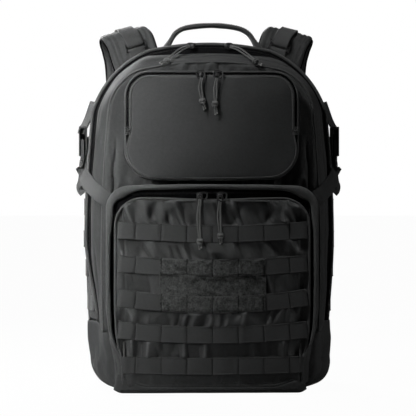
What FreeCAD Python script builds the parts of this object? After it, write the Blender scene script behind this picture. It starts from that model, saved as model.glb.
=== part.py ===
import FreeCAD, Part
import math
import os

import Sketcher

# A panel-loading trauma backpack.  Millimetres.  X is across the pack, with the wearer's right at
# +X, +Y points at the wearer's back, +Z is up, and the origin is the middle of the flat base.

doc = FreeCAD.newDocument("TraumaBackpack")
Vector = FreeCAD.Vector

DRIVING_DIMENSIONS = {
    # depths of the main planes, measured from the origin along Y
    "back_depth": 100,
    "zip_depth": 20,
    "front_depth": 45,
    "organizer_depth": 100,
    "upper_depth": 75,
    # outline of the shell at the main zip: crown, shoulder, side and bottom corner
    "zip_crown_top": 532,
    "zip_crown_half": 95,
    "zip_crown_end": 521,
    "zip_shoulder_half": 150,
    "zip_shoulder_height": 483,
    "zip_side_top_half": 183,
    "zip_side_top": 425,
    "zip_side_half": 194,
    "zip_side_height": 215,
    "zip_side_low_half": 186,
    "zip_side_low": 45,
    "zip_corner_half": 178,
    "zip_corner_height": 12,
    "zip_base_half": 150,
    # outline of the front panel
    "front_crown_top": 497,
    "front_crown_half": 92,
    "front_crown_end": 488,
    "front_shoulder_half": 137,
    "front_shoulder_height": 465,
    "front_side_top_half": 156,
    "front_side_top": 420,
    "front_side_half": 166,
    "front_side_height": 225,
    "front_boot_half": 164,
    "front_boot_low_half": 158,
    "front_boot_corner_half": 150,
    "front_boot_corner_height": 11,
    "front_boot_base_half": 128,
    # shell construction
    "fabric": 4,
    "boot_top": 98,
    "seam_gap": 1.5,
    "floor_thickness": 4,
    "piping": 6,
    "tape": 3,
    # organizer pocket on the lower front
    "organizer_top": 306,
    "organizer_half": 157,
    "organizer_radius": 32,
    "organizer_narrow": 144,
    "organizer_hinge": 72,
    "organizer_knee": 120,
    "cover_half": 144,
    "cover_top": 289,
    "cover_radius": 40,
    "lip_width": 8,
    "door_hinge": 10,
    # upper pocket
    "upper_half": 129,
    "upper_low": 321,
    "upper_top": 479,
    "upper_radius": 36,
    "upper_hinge": 388,
    "flap_inset": 8,
    # load-carrying webbing
    "webbing": 25.4,
    "webbing_thickness": 2.4,
    "webbing_half": 140,
    "tack_pitch": 38.1,
    # shoulder straps, pads and handle
    "strap_width": 70,
    "strap_thickness": 14,
    "pad_thickness": 12,
    "handle_half": 82,
    "handle_width": 25,
    "handle_thickness": 8,
    # hardware
    "cord": 4.4,
    "knot": 9,
    "buckle_width": 28,
}


class Size:
    """A length as its number of millimetres and as the expression that the document evaluates."""

    def __init__(self, value, text=None):
        self.value = float(value)
        self.text = text if text is not None else repr(float(value))

    def __add__(self, other):
        other = as_size(other)
        return Size(self.value + other.value, "(%s + %s)" % (self.text, other.text))

    __radd__ = __add__

    def __neg__(self):
        return Size(-self.value, "(-1 * %s)" % self.text)

    def __sub__(self, other):
        return self + -as_size(other)

    def __rsub__(self, other):
        return as_size(other) - self

    def __mul__(self, factor):
        return Size(self.value * factor, "(%s * %s)" % (self.text, repr(float(factor))))

    __rmul__ = __mul__


def as_size(number):
    return number if isinstance(number, Size) else Size(number)


sheet = doc.addObject("Spreadsheet::Sheet", "dims")
for row, (alias, value) in enumerate(DRIVING_DIMENSIONS.items(), start=1):
    sheet.set("A%d" % row, alias.replace("_", " "))
    sheet.set("B%d" % row, repr(value))
    sheet.setAlias("B%d" % row, alias)
doc.recompute()


class Dimensions:
    """Every aliased cell of the sheet as a Size attribute."""


dim = Dimensions()
for alias in DRIVING_DIMENSIONS:
    setattr(dim, alias, Size(sheet.get(alias), "dims." + alias))

subparts = []


# ---------------------------------------------------------------------------------------------
# Drawing helpers


def new_body(label):
    body = doc.addObject("PartDesign::Body", label + "_body")
    body.Label = label
    subparts.append(body)
    return body


def new_sketch(body, role, offset):
    """A sketch on one of the body's origin planes, moved along the plane's normal by offset."""
    sketch = body.newObject("Sketcher::SketchObject", body.Label + "_sketch")
    plane = [item for item in body.Origin.OriginFeatures if item.Role == role][0]
    sketch.AttachmentSupport = [(plane, "")]
    sketch.MapMode = "FlatFace"
    sketch.setExpression(".AttachmentOffset.Base.z", as_size(offset).text)
    return sketch


def facing_sketch(body, y):
    """A sketch in the plane at depth y, seen from the front: its normal is -Y."""
    return new_sketch(body, "XZ_Plane", -as_size(y))


def draw(sketch, start, steps):
    """A closed wire from start: each step is an end point, or a pair (point on arc, end point)."""
    first = sketch.GeometryCount
    here = start
    for step in steps:
        if isinstance(step[0], tuple):
            through, end = step
            curve = Part.ArcOfCircle(Vector(*here, 0), Vector(*through, 0), Vector(*end, 0))
            sketch.addGeometry(curve)
        else:
            end = step
            sketch.addGeometry(Part.LineSegment(Vector(*here, 0), Vector(*end, 0)))
        here = end
    last = sketch.GeometryCount - 1
    for edge in range(first, last + 1):
        following = edge + 1 if edge < last else first
        join_ends(sketch, edge, following)


def join_ends(sketch, edge, following):
    """Ties the end of one edge to whichever end of the next edge it touches."""
    for end in (2, 1):
        for start in (1, 2):
            apart = sketch.getPoint(edge, end) - sketch.getPoint(following, start)
            if apart.Length < 1e-4:
                sketch.addConstraint(Sketcher.Constraint("Coincident", edge, end, following, start))
                return


def pin(sketch, kind, edge, point, size):
    """Fixes one coordinate of a point of the sketch to a size from the sheet."""
    size = as_size(size)
    index = sketch.addConstraint(Sketcher.Constraint(kind, -1, 1, edge, point, size.value))
    sketch.setExpression("Constraints[%d]" % index, size.text)


def rectangle(sketch, left, right, low, high):
    """A rectangle whose four sides are all driven by the sheet."""
    left, right, low, high = (as_size(side) for side in (left, right, low, high))
    corners = [
        (left.value, low.value),
        (right.value, low.value),
        (right.value, high.value),
        (left.value, high.value),
    ]
    first = sketch.GeometryCount
    draw(sketch, corners[0], corners[1:] + corners[:1])
    for edge, kind in enumerate(("Horizontal", "Vertical", "Horizontal", "Vertical")):
        sketch.addConstraint(Sketcher.Constraint(kind, first + edge))
    pin(sketch, "DistanceX", first, 1, left)
    pin(sketch, "DistanceY", first, 1, low)
    pin(sketch, "DistanceX", first + 2, 1, right)
    pin(sketch, "DistanceY", first + 2, 1, high)


def rounded(half, low, high, radius_top, radius_low):
    """Start and steps of a symmetrical rectangle with rounded corners."""
    bulge_top = radius_top * (1 - math.sqrt(0.5))
    bulge_low = radius_low * (1 - math.sqrt(0.5))
    start = (-half + radius_top, high)
    steps = [
        (half - radius_top, high),
        ((half - bulge_top, high - bulge_top), (half, high - radius_top)),
        (half, low + radius_low),
        ((half - bulge_low, low + bulge_low), (half - radius_low, low)),
        (-half + radius_low, low),
        ((-half + bulge_low, low + bulge_low), (-half, low + radius_low)),
        (-half, high - radius_top),
        ((-half + bulge_top, high - bulge_top), start),
    ]
    return start, steps


def pad(body, sketch, length):
    feature = body.newObject("PartDesign::Pad", body.Label + "_pad")
    feature.Profile = sketch
    feature.setExpression("Length", as_size(length).text)
    sketch.Visibility = False
    return feature


def facing_plate(label, back, front, *wires):
    """A body of the given front-view wires, from depth back to depth front."""
    body = new_body(label)
    add_facing_plate(body, back, front, *wires)
    return body


def add_facing_plate(body, back, front, *wires):
    sketch = facing_sketch(body, back)
    for start, steps in wires:
        draw(sketch, start, steps)
    pad(body, sketch, as_size(back) - front)


def add_loft(body, profile, section):
    feature = body.newObject("PartDesign::AdditiveLoft", body.Label + "_loft")
    feature.Profile = profile
    feature.Sections = [section]
    return feature


def block(label, x_range, y_range, z_range):
    """A plain box between three pairs of sizes."""
    box = doc.addObject("Part::Box", label + "_box")
    place_block(box, x_range, y_range, z_range)
    box.Label = label
    subparts.append(box)
    return box


def place_block(box, x_range, y_range, z_range):
    for axis, edge, limits in zip("xyz", ("Length", "Width", "Height"), (x_range, y_range, z_range)):
        low, high = sorted((as_size(limit) for limit in limits), key=lambda size: size.value)
        box.setExpression("Placement.Base." + axis, low.text)
        box.setExpression(edge, (high - low).text)


def shape_feature(label, shape):
    """A sub-part whose shape comes from Part's own functions."""
    feature = doc.addObject("Part::Feature", label + "_shape")
    feature.Shape = shape
    feature.Label = label
    subparts.append(feature)
    return feature


def group(label, members):
    """Separate solids kept under one name."""
    compound = doc.addObject("Part::Compound", label + "_group")
    compound.Links = members
    compound.Label = label
    subparts.append(compound)
    return compound


def loose_block(name, x_range, y_range, z_range):
    """A box that is only a member of a group or the tool of a boolean."""
    box = doc.addObject("Part::Box", name)
    place_block(box, x_range, y_range, z_range)
    return box


def strap_frames(stations):
    """Turns stations of (centre, direction across) into (centre, across, outward normal)."""
    frames = []
    for index, (centre, across) in enumerate(stations):
        before = stations[max(index - 1, 0)][0]
        after = stations[min(index + 1, len(stations) - 1)][0]
        along = (after - before).normalize()
        out = along.cross(across).normalize()
        frames.append((centre, out.cross(along).normalize(), out))
    return frames


def moved_out(frames, distance):
    """The same frames moved along the strap's outward normal."""
    return [(centre + out * distance, across, out) for centre, across, out in frames]


def ribbon(frames, width, thickness):
    """A flat strap through the frames: straight between its sections."""
    wires = []
    for centre, across, out in frames:
        side = across * (width / 2)
        rise = out * (thickness / 2)
        corners = [centre - side - rise, centre + side - rise, centre + side + rise, centre - side + rise]
        wires.append(Part.makePolygon(corners + corners[:1]))
    return Part.makeLoft(wires, True, True)


# ---------------------------------------------------------------------------------------------
# Outlines of the shell


def inset_point(half, height, angle, inset):
    """A point of an outline moved inward along its normal, at angle degrees above +X."""
    turn = math.radians(angle)
    return (half.value - inset * math.cos(turn), height.value - inset * math.sin(turn))


def mirrored(point):
    return (-point[0], point[1])


def zip_outline(inset):
    """Half outline of the shell at the main zip, from the crown down to the base."""
    return {
        "crown": (0.0, dim.zip_crown_top.value - inset),
        "crown_end": inset_point(dim.zip_crown_half, dim.zip_crown_end, 77, inset),
        "shoulder": inset_point(dim.zip_shoulder_half, dim.zip_shoulder_height, 47, inset),
        "side_top": inset_point(dim.zip_side_top_half, dim.zip_side_top, 15, inset),
        "side": inset_point(dim.zip_side_half, dim.zip_side_height, 0, inset),
        "side_low": inset_point(dim.zip_side_low_half, dim.zip_side_low, -6, inset),
        "corner": inset_point(dim.zip_corner_half, dim.zip_corner_height, -40, inset),
        "base": inset_point(dim.zip_base_half, Size(0), -90, inset),
    }


def front_outline(inset):
    """Half outline of the front panel, from the crown down to the base."""
    return {
        "crown": (0.0, dim.front_crown_top.value - inset),
        "crown_end": inset_point(dim.front_crown_half, dim.front_crown_end, 78, inset),
        "shoulder": inset_point(dim.front_shoulder_half, dim.front_shoulder_height, 45, inset),
        "side_top": inset_point(dim.front_side_top_half, dim.front_side_top, 12, inset),
        "side": inset_point(dim.front_side_half, dim.front_side_height, 0, inset),
        "side_low": inset_point(dim.front_boot_half, dim.boot_top, 0, inset),
    }


def point_on_side(outline, height):
    """Where the side arc through side_top, side and side_low stands at a height."""
    top, middle, low = (outline[name] for name in ("side_top", "side", "side_low"))
    circle = Part.Circle(Vector(*top, 0), Vector(*middle, 0), Vector(*low, 0))
    rise = height - circle.Center.y
    return (circle.Center.x + math.sqrt(circle.Radius**2 - rise**2), height)


def arch_band(outer, inner, low):
    """Closed wire between two outlines, open at the bottom, whose legs end at height low."""
    outer_low = point_on_side(outer, low)
    inner_low = point_on_side(inner, low)
    start = mirrored(outer_low)
    steps = [
        (mirrored(outer["side"]), mirrored(outer["side_top"])),
        (mirrored(outer["shoulder"]), mirrored(outer["crown_end"])),
        (outer["crown"], outer["crown_end"]),
        (outer["shoulder"], outer["side_top"]),
        (outer["side"], outer_low),
        inner_low,
        (inner["side"], inner["side_top"]),
        (inner["shoulder"], inner["crown_end"]),
        (inner["crown"], mirrored(inner["crown_end"])),
        (mirrored(inner["shoulder"]), mirrored(inner["side_top"])),
        (mirrored(inner["side"]), mirrored(inner_low)),
        start,
    ]
    return start, steps


def shell_face(outline):
    """Closed wire of a whole outline at the main zip."""
    start = mirrored(outline["crown_end"])
    steps = [
        (outline["crown"], outline["crown_end"]),
        (outline["shoulder"], outline["side_top"]),
        (outline["side"], outline["side_low"]),
        (outline["corner"], outline["base"]),
        mirrored(outline["base"]),
        (mirrored(outline["corner"]), mirrored(outline["side_low"])),
        (mirrored(outline["side"]), mirrored(outline["side_top"])),
        (mirrored(outline["shoulder"]), start),
    ]
    return start, steps


def trough(outer, inner):
    """Closed wire of the boot: floor and two side walls up to the boot's top seam."""
    start = mirrored(outer["top"])
    steps = [
        mirrored(outer["side_low"]),
        (mirrored(outer["corner"]), mirrored(outer["base"])),
        outer["base"],
        (outer["corner"], outer["side_low"]),
        outer["top"],
        inner["top"],
        inner["side_low"],
        (inner["corner"], inner["base"]),
        mirrored(inner["base"]),
        (mirrored(inner["corner"]), mirrored(inner["side_low"])),
        mirrored(inner["top"]),
        start,
    ]
    return start, steps


def boot_outline_at_zip(inset):
    outline = zip_outline(inset)
    outline["top"] = point_on_side(outline, dim.boot_top.value)
    outline["base"] = (dim.zip_base_half.value, FLOOR_LIFT + max(inset - SHELL_INSET, 0))
    return outline


def boot_outline_at_front(inset):
    side_low = inset_point(dim.front_boot_low_half, dim.zip_side_low, -6, inset)
    corner_height = dim.front_boot_corner_height
    return {
        "top": (dim.front_boot_half.value - inset, dim.boot_top.value),
        "side_low": side_low,
        "corner": inset_point(dim.front_boot_corner_half, corner_height, -40, inset),
        "base": (dim.front_boot_base_half.value, FLOOR_LIFT + inset),
    }


# ---------------------------------------------------------------------------------------------
# Back half of the shell: fixed

SHELL_INSET = 2  # the piping stands proud of the gusset fabric by this much
FLOOR_LIFT = 1.0  # the curved sides of the boot start this far above its flat floor
wall = dim.fabric.value
gusset_back = dim.back_depth - dim.fabric
piping_front = dim.zip_depth
piping_back = dim.zip_depth + 4
rear_tape_front = dim.zip_depth - dim.tape
door_low = dim.boot_top + dim.seam_gap


def make_back_shell():
    facing_plate("back_panel", dim.back_depth, gusset_back, shell_face(zip_outline(SHELL_INSET)))
    facing_plate(
        "rear_gusset",
        gusset_back,
        piping_back,
        arch_band(zip_outline(SHELL_INSET), zip_outline(SHELL_INSET + wall), dim.boot_top.value),
    )
    facing_plate(
        "rear_piping",
        piping_back,
        piping_front,
        arch_band(zip_outline(0), zip_outline(dim.piping.value), dim.boot_top.value),
    )
    facing_plate(
        "main_zip_rear_tape",
        piping_front,
        rear_tape_front,
        arch_band(zip_outline(1), zip_outline(dim.piping.value), dim.boot_top.value),
    )


def make_base_boot():
    """Side walls, their tapered front, the flat floor that runs out under the organizer, and its lip."""
    body = new_body("base_boot")
    zip_wire = trough(boot_outline_at_zip(SHELL_INSET), boot_outline_at_zip(SHELL_INSET + wall))
    front_wire = trough(boot_outline_at_front(0), boot_outline_at_front(wall))
    add_facing_plate(body, gusset_back, dim.zip_depth, zip_wire)
    profile = facing_sketch(body, dim.zip_depth)
    draw(profile, *zip_wire)
    section = facing_sketch(body, -dim.front_depth)
    draw(section, *front_wire)
    add_loft(body, profile, section)
    floor = new_sketch(body, "XY_Plane", Size(0))
    wide = dim.zip_base_half.value
    narrow = dim.front_boot_base_half.value
    half_floor = [
        (wide, gusset_back.value),
        (wide, dim.zip_depth.value),
        (narrow, -dim.front_depth.value),
        (narrow, -dim.organizer_depth.value),
    ]
    corners = half_floor + [mirrored(point) for point in reversed(half_floor)]
    draw(floor, corners[0], corners[1:] + corners[:1])
    pad(body, floor, dim.floor_thickness)
    lip = facing_sketch(body, -dim.organizer_depth + dim.fabric)
    rectangle(lip, -dim.cover_half + 4, dim.cover_half - 4, Size(0), dim.door_hinge - 1)
    pad(body, lip, dim.fabric)
    return body


def make_inside_back():
    clear = 0.5
    sheet_back = gusset_back - clear
    start, steps = rounded(150, 60, 470, 60, 20)
    facing_plate("frame_sheet", sheet_back, sheet_back - 2.5, (start, steps))
    sleeve_back = sheet_back - 3.5
    start, steps = rounded(140, 24, 330, 15, 15)
    facing_plate("inner_sleeve", sleeve_back, sleeve_back - 3, (start, steps))


def make_back_padding():
    pad_back = dim.back_depth + dim.pad_thickness
    for side, name in ((-1, "left"), (1, "right")):
        body = new_body("back_pad_" + name)
        sketch = facing_sketch(body, pad_back)
        start, steps = rounded(36, 150, 415, 20, 20)
        shift = side * 62
        start = (start[0] + shift, start[1])
        moved = []
        for step in steps:
            if isinstance(step[0], tuple):
                moved.append(tuple((point[0] + shift, point[1]) for point in step))
            else:
                moved.append((step[0] + shift, step[1]))
        draw(sketch, start, moved)
        pad(body, sketch, dim.pad_thickness)
    facing_plate("lumbar_pad", pad_back, dim.back_depth, rounded(118, 34, 132, 24, 24))
    facing_plate(
        "shoulder_yoke", dim.back_depth + 5, dim.back_depth, rounded(126, 426, 498, 30, 12)
    )


make_back_shell()
make_base_boot()
make_inside_back()
make_back_padding()


# ---------------------------------------------------------------------------------------------
# Shoulder straps: each rises from the yoke, rolls over and hangs down behind the pack

STRAP_FRONT = 113.0  # centre of the strap's rising leg
STRAP_ROLL = 37.0  # radius of the roll-over, to the strap's centre
STRAP_ROLL_HEIGHT = 518.0
STRAP_WEBBING = 2.0  # thickness of the webbing on the strap
STRAP_WEBBING_GAP = 1.6  # from the strap's face to the middle of its webbing


def strap_stations(side):
    """Centres and across-directions of a shoulder strap, from the yoke to the ladder lock."""
    lean = Vector(side * 0.915, 0, -0.404)
    top_lean = Vector(side * 0.972, 0, -0.235)
    level = Vector(side, 0, 0)
    stations = [
        (Vector(side * 82, STRAP_FRONT, 440), lean),
        (Vector(side * 112, STRAP_FRONT, STRAP_ROLL_HEIGHT - 12), lean),
    ]
    roll_centre = STRAP_FRONT + STRAP_ROLL
    for turn, x in ((30, 123), (60, 131), (90, 136), (120, 137), (150, 133)):
        angle = math.radians(turn)
        y = roll_centre - STRAP_ROLL * math.cos(angle)
        z = STRAP_ROLL_HEIGHT + STRAP_ROLL * math.sin(angle)
        stations.append((Vector(side * x, y, z), top_lean))
    back = roll_centre + STRAP_ROLL
    stations += [
        (Vector(side * 127, back, STRAP_ROLL_HEIGHT - 12), level),
        (Vector(side * 123, back, 420), level),
        (Vector(side * 126, back - 5, 330), level),
        (Vector(side * 135, back - 22, 255), level),
        (Vector(side * 141, back - 37, 218), level),
    ]
    return stations


def make_shoulder_strap(side, name):
    frames = strap_frames(strap_stations(side))
    thickness = dim.strap_thickness.value
    webbing = dim.webbing.value
    shape_feature("shoulder_strap_" + name, ribbon(frames, dim.strap_width.value, thickness))
    # Webbing lies on the outer face: a run over the top, and a tab whose fold holds it below.
    outer = moved_out(frames, -side * (thickness / 2 + STRAP_WEBBING_GAP))
    over_top = ribbon(outer[2:10], webbing, STRAP_WEBBING)
    low, high = outer[1], outer[2]
    tab_high = (low[0] * 0.4 + high[0] * 0.6, low[1], low[2])
    tab = ribbon([low, tab_high], webbing, STRAP_WEBBING)
    shape_feature("strap_webbing_" + name, Part.makeCompound([over_top, tab]))


for side, name in ((-1, "left"), (1, "right")):
    make_shoulder_strap(side, name)


# ---------------------------------------------------------------------------------------------
# Strap ends: ladder locks, lower webbing and the sternum strap

LOCK_Y = 147.0
LOCK_Z = 206.0


def make_strap_end(side, name):
    x = side * 141
    half = 17
    frame = new_body("ladder_lock_" + name)
    sketch = facing_sketch(frame, Size(LOCK_Y + 3))
    rectangle(sketch, Size(x - half), Size(x + half), Size(LOCK_Z - 14), Size(LOCK_Z + 8))
    for low in (LOCK_Z - 9, LOCK_Z + 1):
        rectangle(sketch, Size(x - 13), Size(x + 13), Size(low), Size(low + 4))
    pad(frame, sketch, Size(6))
    level = Vector(side, 0, 0)
    run = [
        (Vector(x, LOCK_Y - 4, LOCK_Z - 16), level),
        (Vector(side * 147, 128, 140), level),
        (Vector(side * 151, 108, 80), level),
        (Vector(side * 152, 103, 66), level),
    ]
    shape_feature("lower_webbing_" + name, ribbon(strap_frames(run), dim.webbing.value, 2.0))


def make_sternum_strap():
    """Two clips on the shoulder straps, two webbings and a side-release buckle between them."""
    z = 385
    y = STRAP_FRONT + 2 * STRAP_ROLL + 12.5
    clips = []
    for side, name in ((-1, "left"), (1, "right")):
        clip = loose_block(
            "sternum_clip_" + name,
            (Size(side * 112), Size(side * 134)),
            (Size(y - 2), Size(y + 1)),
            (Size(z - 15), Size(z + 15)),
        )
        clips.append(clip)
    group("sternum_clips", clips)
    block("sternum_webbing_left", (-134, -22), (y + 2, y + 4), (z - 10, z + 10))
    block("sternum_webbing_right", (30, 134), (y + 2, y + 4), (z - 10, z + 10))
    male = new_body("sternum_male")
    sketch = facing_sketch(male, Size(y + 6))
    outline = [(-21, z - 12), (-4, z - 12), (-4, z - 7), (16, z - 7), (16, z + 7), (-4, z + 7)]
    draw(sketch, outline[0], outline[1:] + [(-4, z + 12), (-21, z + 12), outline[0]])
    pad(male, sketch, Size(5))
    female = new_body("sternum_female")
    sketch = new_sketch(female, "YZ_Plane", Size(-3))
    rectangle(sketch, Size(y - 1), Size(y + 8), Size(z - 14), Size(z + 14))
    rectangle(sketch, Size(y + 0.5), Size(y + 6.5), Size(z - 9), Size(z + 9))
    pad(female, sketch, Size(22))
    back = new_sketch(female, "YZ_Plane", Size(19))
    rectangle(back, Size(y - 1), Size(y + 8), Size(z - 14), Size(z + 14))
    pad(female, back, Size(10))


for side, name in ((-1, "left"), (1, "right")):
    make_strap_end(side, name)
make_sternum_strap()


# ---------------------------------------------------------------------------------------------
# Grab handle on top, hinged on the front edge of its two feet

HANDLE_FRONT = 68.0
HANDLE_FOOT = 524.5
HANDLE_CROWN = 567.0
HANDLE_SHOULDER = (45.0, 557.0)  # where the arch over the hand meets the sloping legs


def make_handle():
    half = dim.handle_half.value
    thick = dim.handle_thickness.value
    body = new_body("grab_handle")
    sketch = facing_sketch(body, Size(HANDLE_FRONT) + dim.handle_width)
    foot = 1.4 * thick
    spread, shoulder = HANDLE_SHOULDER
    start = (-half, HANDLE_FOOT)
    steps = [
        (-spread, shoulder),
        ((0, HANDLE_CROWN), (spread, shoulder)),
        (half, HANDLE_FOOT),
        (half - foot, HANDLE_FOOT),
        (spread - thick / 2, shoulder - thick),
        ((0, HANDLE_CROWN - thick), (-spread + thick / 2, shoulder - thick)),
        (-half + foot, HANDLE_FOOT),
        start,
    ]
    draw(sketch, start, steps)
    pad(body, sketch, dim.handle_width)


make_handle()


# ---------------------------------------------------------------------------------------------
# Front half of the shell: the door that folds down about the front bottom edge

panel_back = -dim.front_depth + dim.fabric
gusset_zip_end = rear_tape_front - 2
FRONT_TAPE_OUT = 8  # the zip's gap lies between the rear tape and this inset


def make_front_panel():
    outline = front_outline(0)
    low = point_on_side(outline, door_low.value)
    foot_top = (dim.front_boot_half.value - wall - 2, door_low.value)
    foot_mid = (dim.front_boot_low_half.value - wall - 4, dim.zip_side_low.value)
    foot_low = (dim.front_boot_base_half.value - 2, dim.door_hinge.value + 1)
    start = mirrored(outline["crown_end"])
    steps = [
        (outline["crown"], outline["crown_end"]),
        (outline["shoulder"], outline["side_top"]),
        (outline["side"], low),
        foot_top,
        foot_mid,
        foot_low,
        mirrored(foot_low),
        mirrored(foot_mid),
        mirrored(foot_top),
        mirrored(low),
        (mirrored(outline["side"]), mirrored(outline["side_top"])),
        (mirrored(outline["shoulder"]), start),
    ]
    facing_plate("front_panel", panel_back, -dim.front_depth, (start, steps))


def make_front_gusset():
    body = new_body("front_gusset")
    low = door_low.value
    at_zip = facing_sketch(body, gusset_zip_end)
    outer = zip_outline(FRONT_TAPE_OUT)
    inner = zip_outline(FRONT_TAPE_OUT + wall)
    draw(at_zip, *arch_band(outer, inner, low))
    at_front = facing_sketch(body, panel_back)
    draw(at_front, *arch_band(front_outline(0), front_outline(wall), low))
    add_loft(body, at_zip, at_front)
    facing_plate(
        "main_zip_front_tape",
        gusset_zip_end + 2,
        gusset_zip_end,
        arch_band(zip_outline(FRONT_TAPE_OUT), zip_outline(FRONT_TAPE_OUT + 10), low),
    )


def make_door_pocket():
    pocket_back = panel_back + 4
    facing_plate("door_mesh_pocket", pocket_back, panel_back + 1, rounded(128, 112, 300, 14, 14))


make_front_panel()
make_front_gusset()
make_door_pocket()


# ---------------------------------------------------------------------------------------------
# Organizer pocket: walls, rolled lip, fixed lower panel, and the cover that folds down


def organizer_wire(inset, low):
    """Front-view outline of the organizer: round top corners, sides drawn in towards the base."""
    half = dim.organizer_half.value - inset
    narrow = dim.organizer_narrow.value - inset
    high = dim.organizer_top.value - inset
    radius = dim.organizer_radius.value - inset
    bulge = radius * (1 - math.sqrt(0.5))
    knee = dim.organizer_knee.value
    hinge = dim.organizer_hinge.value
    start = (-half + radius, high)
    right = [
        (half - radius, high),
        ((half - bulge, high - bulge), (half, high - radius)),
        (half, knee),
        (narrow, hinge + 1),
        (narrow, low),
    ]
    left = [
        (-narrow, low),
        (-narrow, hinge + 1),
        (-half, knee),
        (-half, high - radius),
        ((-half + bulge, high - bulge), start),
    ]
    return start, right + left


def lip_wire():
    """The lip's band: its outer edge follows the pocket, its inner edge runs round the cover."""
    low = dim.organizer_hinge.value + 1
    knee = dim.organizer_knee.value
    outer_half = dim.organizer_half.value
    outer_high = dim.organizer_top.value
    outer_radius = dim.organizer_radius.value
    inner_half = dim.cover_half.value + LIP_GAP
    inner_high = outer_high - dim.lip_width.value
    inner_radius = dim.cover_radius.value + LIP_GAP
    outer_bulge = outer_radius * (1 - math.sqrt(0.5))
    inner_bulge = inner_radius * (1 - math.sqrt(0.5))
    start = (-inner_half - 1, low)
    steps = [
        (-outer_half, knee),
        (-outer_half, outer_high - outer_radius),
        (
            (-outer_half + outer_bulge, outer_high - outer_bulge),
            (-outer_half + outer_radius, outer_high),
        ),
        (outer_half - outer_radius, outer_high),
        (
            (outer_half - outer_bulge, outer_high - outer_bulge),
            (outer_half, outer_high - outer_radius),
        ),
        (outer_half, knee),
        (inner_half + 1, low),
        (inner_half, low),
        (inner_half, inner_high - inner_radius),
        (
            (inner_half - inner_bulge, inner_high - inner_bulge),
            (inner_half - inner_radius, inner_high),
        ),
        (-inner_half + inner_radius, inner_high),
        (
            (-inner_half + inner_bulge, inner_high - inner_bulge),
            (-inner_half, inner_high - inner_radius),
        ),
        (-inner_half, low),
        start,
    ]
    return start, steps


LIP_GAP = 2.0  # between the cover's edge and the lip
organizer_face = -dim.organizer_depth
organizer_skin = dim.fabric - 1  # thickness of the organizer's walls and front
door_foot = dim.door_hinge + 1


def make_organizer():
    skin = organizer_skin.value
    low = door_foot.value
    facing_plate(
        "organizer_wall",
        -dim.front_depth,
        organizer_face + skin,
        organizer_wire(0, low),
        organizer_wire(skin, low + skin),
    )
    facing_plate("organizer_lip", organizer_face + skin, organizer_face, lip_wire())
    start, steps = rounded(dim.organizer_narrow.value, low, dim.organizer_hinge.value - 0.5, 1, 12)
    facing_plate("organizer_lower_panel", organizer_face + skin, organizer_face, (start, steps))


def cover_wire():
    start, steps = rounded(
        dim.cover_half.value,
        dim.organizer_hinge.value + 0.5,
        dim.cover_top.value,
        dim.cover_radius.value,
        1,
    )
    return start, steps


def webbing_row(body, height, rise, half, thickness, surface):
    """One row of load-carrying webbing: it climbs by rise from the middle to its ends."""
    tall = dim.webbing.value
    low = height - tall / 2
    high = height + tall / 2
    start = (-half, low + rise)
    steps = [((0, low), (half, low + rise)), (half, high + rise), ((0, high), (-half, high + rise))]
    sketch = facing_sketch(body, surface)
    draw(sketch, start, steps + [start])
    pad(body, sketch, thickness)


ROW_HEIGHTS = (236.5, 186.0, 131.5, 86.5)  # middles of the four rows on the cover
ROW_RISES = (6, 7, 11, 8)
LOWER_ROW_HEIGHT = 40.0
LOWER_ROW_RISE = 3
LOOP_HALF = 2 * dim.tack_pitch.value


def make_cover():
    skin = organizer_skin.value
    facing_plate("organizer_cover", organizer_face + skin, organizer_face, cover_wire())
    thickness = dim.webbing_thickness
    half = dim.webbing_half.value
    rows = []
    for number, (height, rise) in enumerate(zip(ROW_HEIGHTS, ROW_RISES), start=1):
        row = doc.addObject("PartDesign::Body", "cover_row_%d" % number)
        row.Label = "cover_row_%d" % number
        webbing_row(row, height, rise, half, thickness, organizer_face)
        rows.append(row)
    group("cover_webbing_rows", rows)
    # Loop fastener: a name panel between rows 2 and 3.
    upper_edge = ROW_HEIGHTS[1] - dim.webbing.value / 2
    lower_edge = ROW_HEIGHTS[2] + dim.webbing.value / 2
    edge_rise = 4.0  # the rows climb by this much over the panel's half width
    start = (-LOOP_HALF, lower_edge + edge_rise + 0.6)
    panel = [
        ((0, lower_edge + 0.5), (LOOP_HALF, lower_edge + edge_rise + 0.6)),
        (LOOP_HALF, upper_edge + 1.2),
        ((0, upper_edge - 0.5), (-LOOP_HALF, upper_edge + 1.2)),
        start,
    ]
    facing_plate("loop_panel", organizer_face, organizer_face - 1.2, (start, panel))
    lower = new_body("lower_webbing_row")
    webbing_row(lower, LOWER_ROW_HEIGHT, LOWER_ROW_RISE, half - 4, thickness, organizer_face)


make_organizer()
make_cover()


# ---------------------------------------------------------------------------------------------
# Upper pocket: walls, piped rim, fixed lower face, and the flap that folds down

upper_face = -dim.upper_depth
upper_skin = dim.fabric - 1


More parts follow.
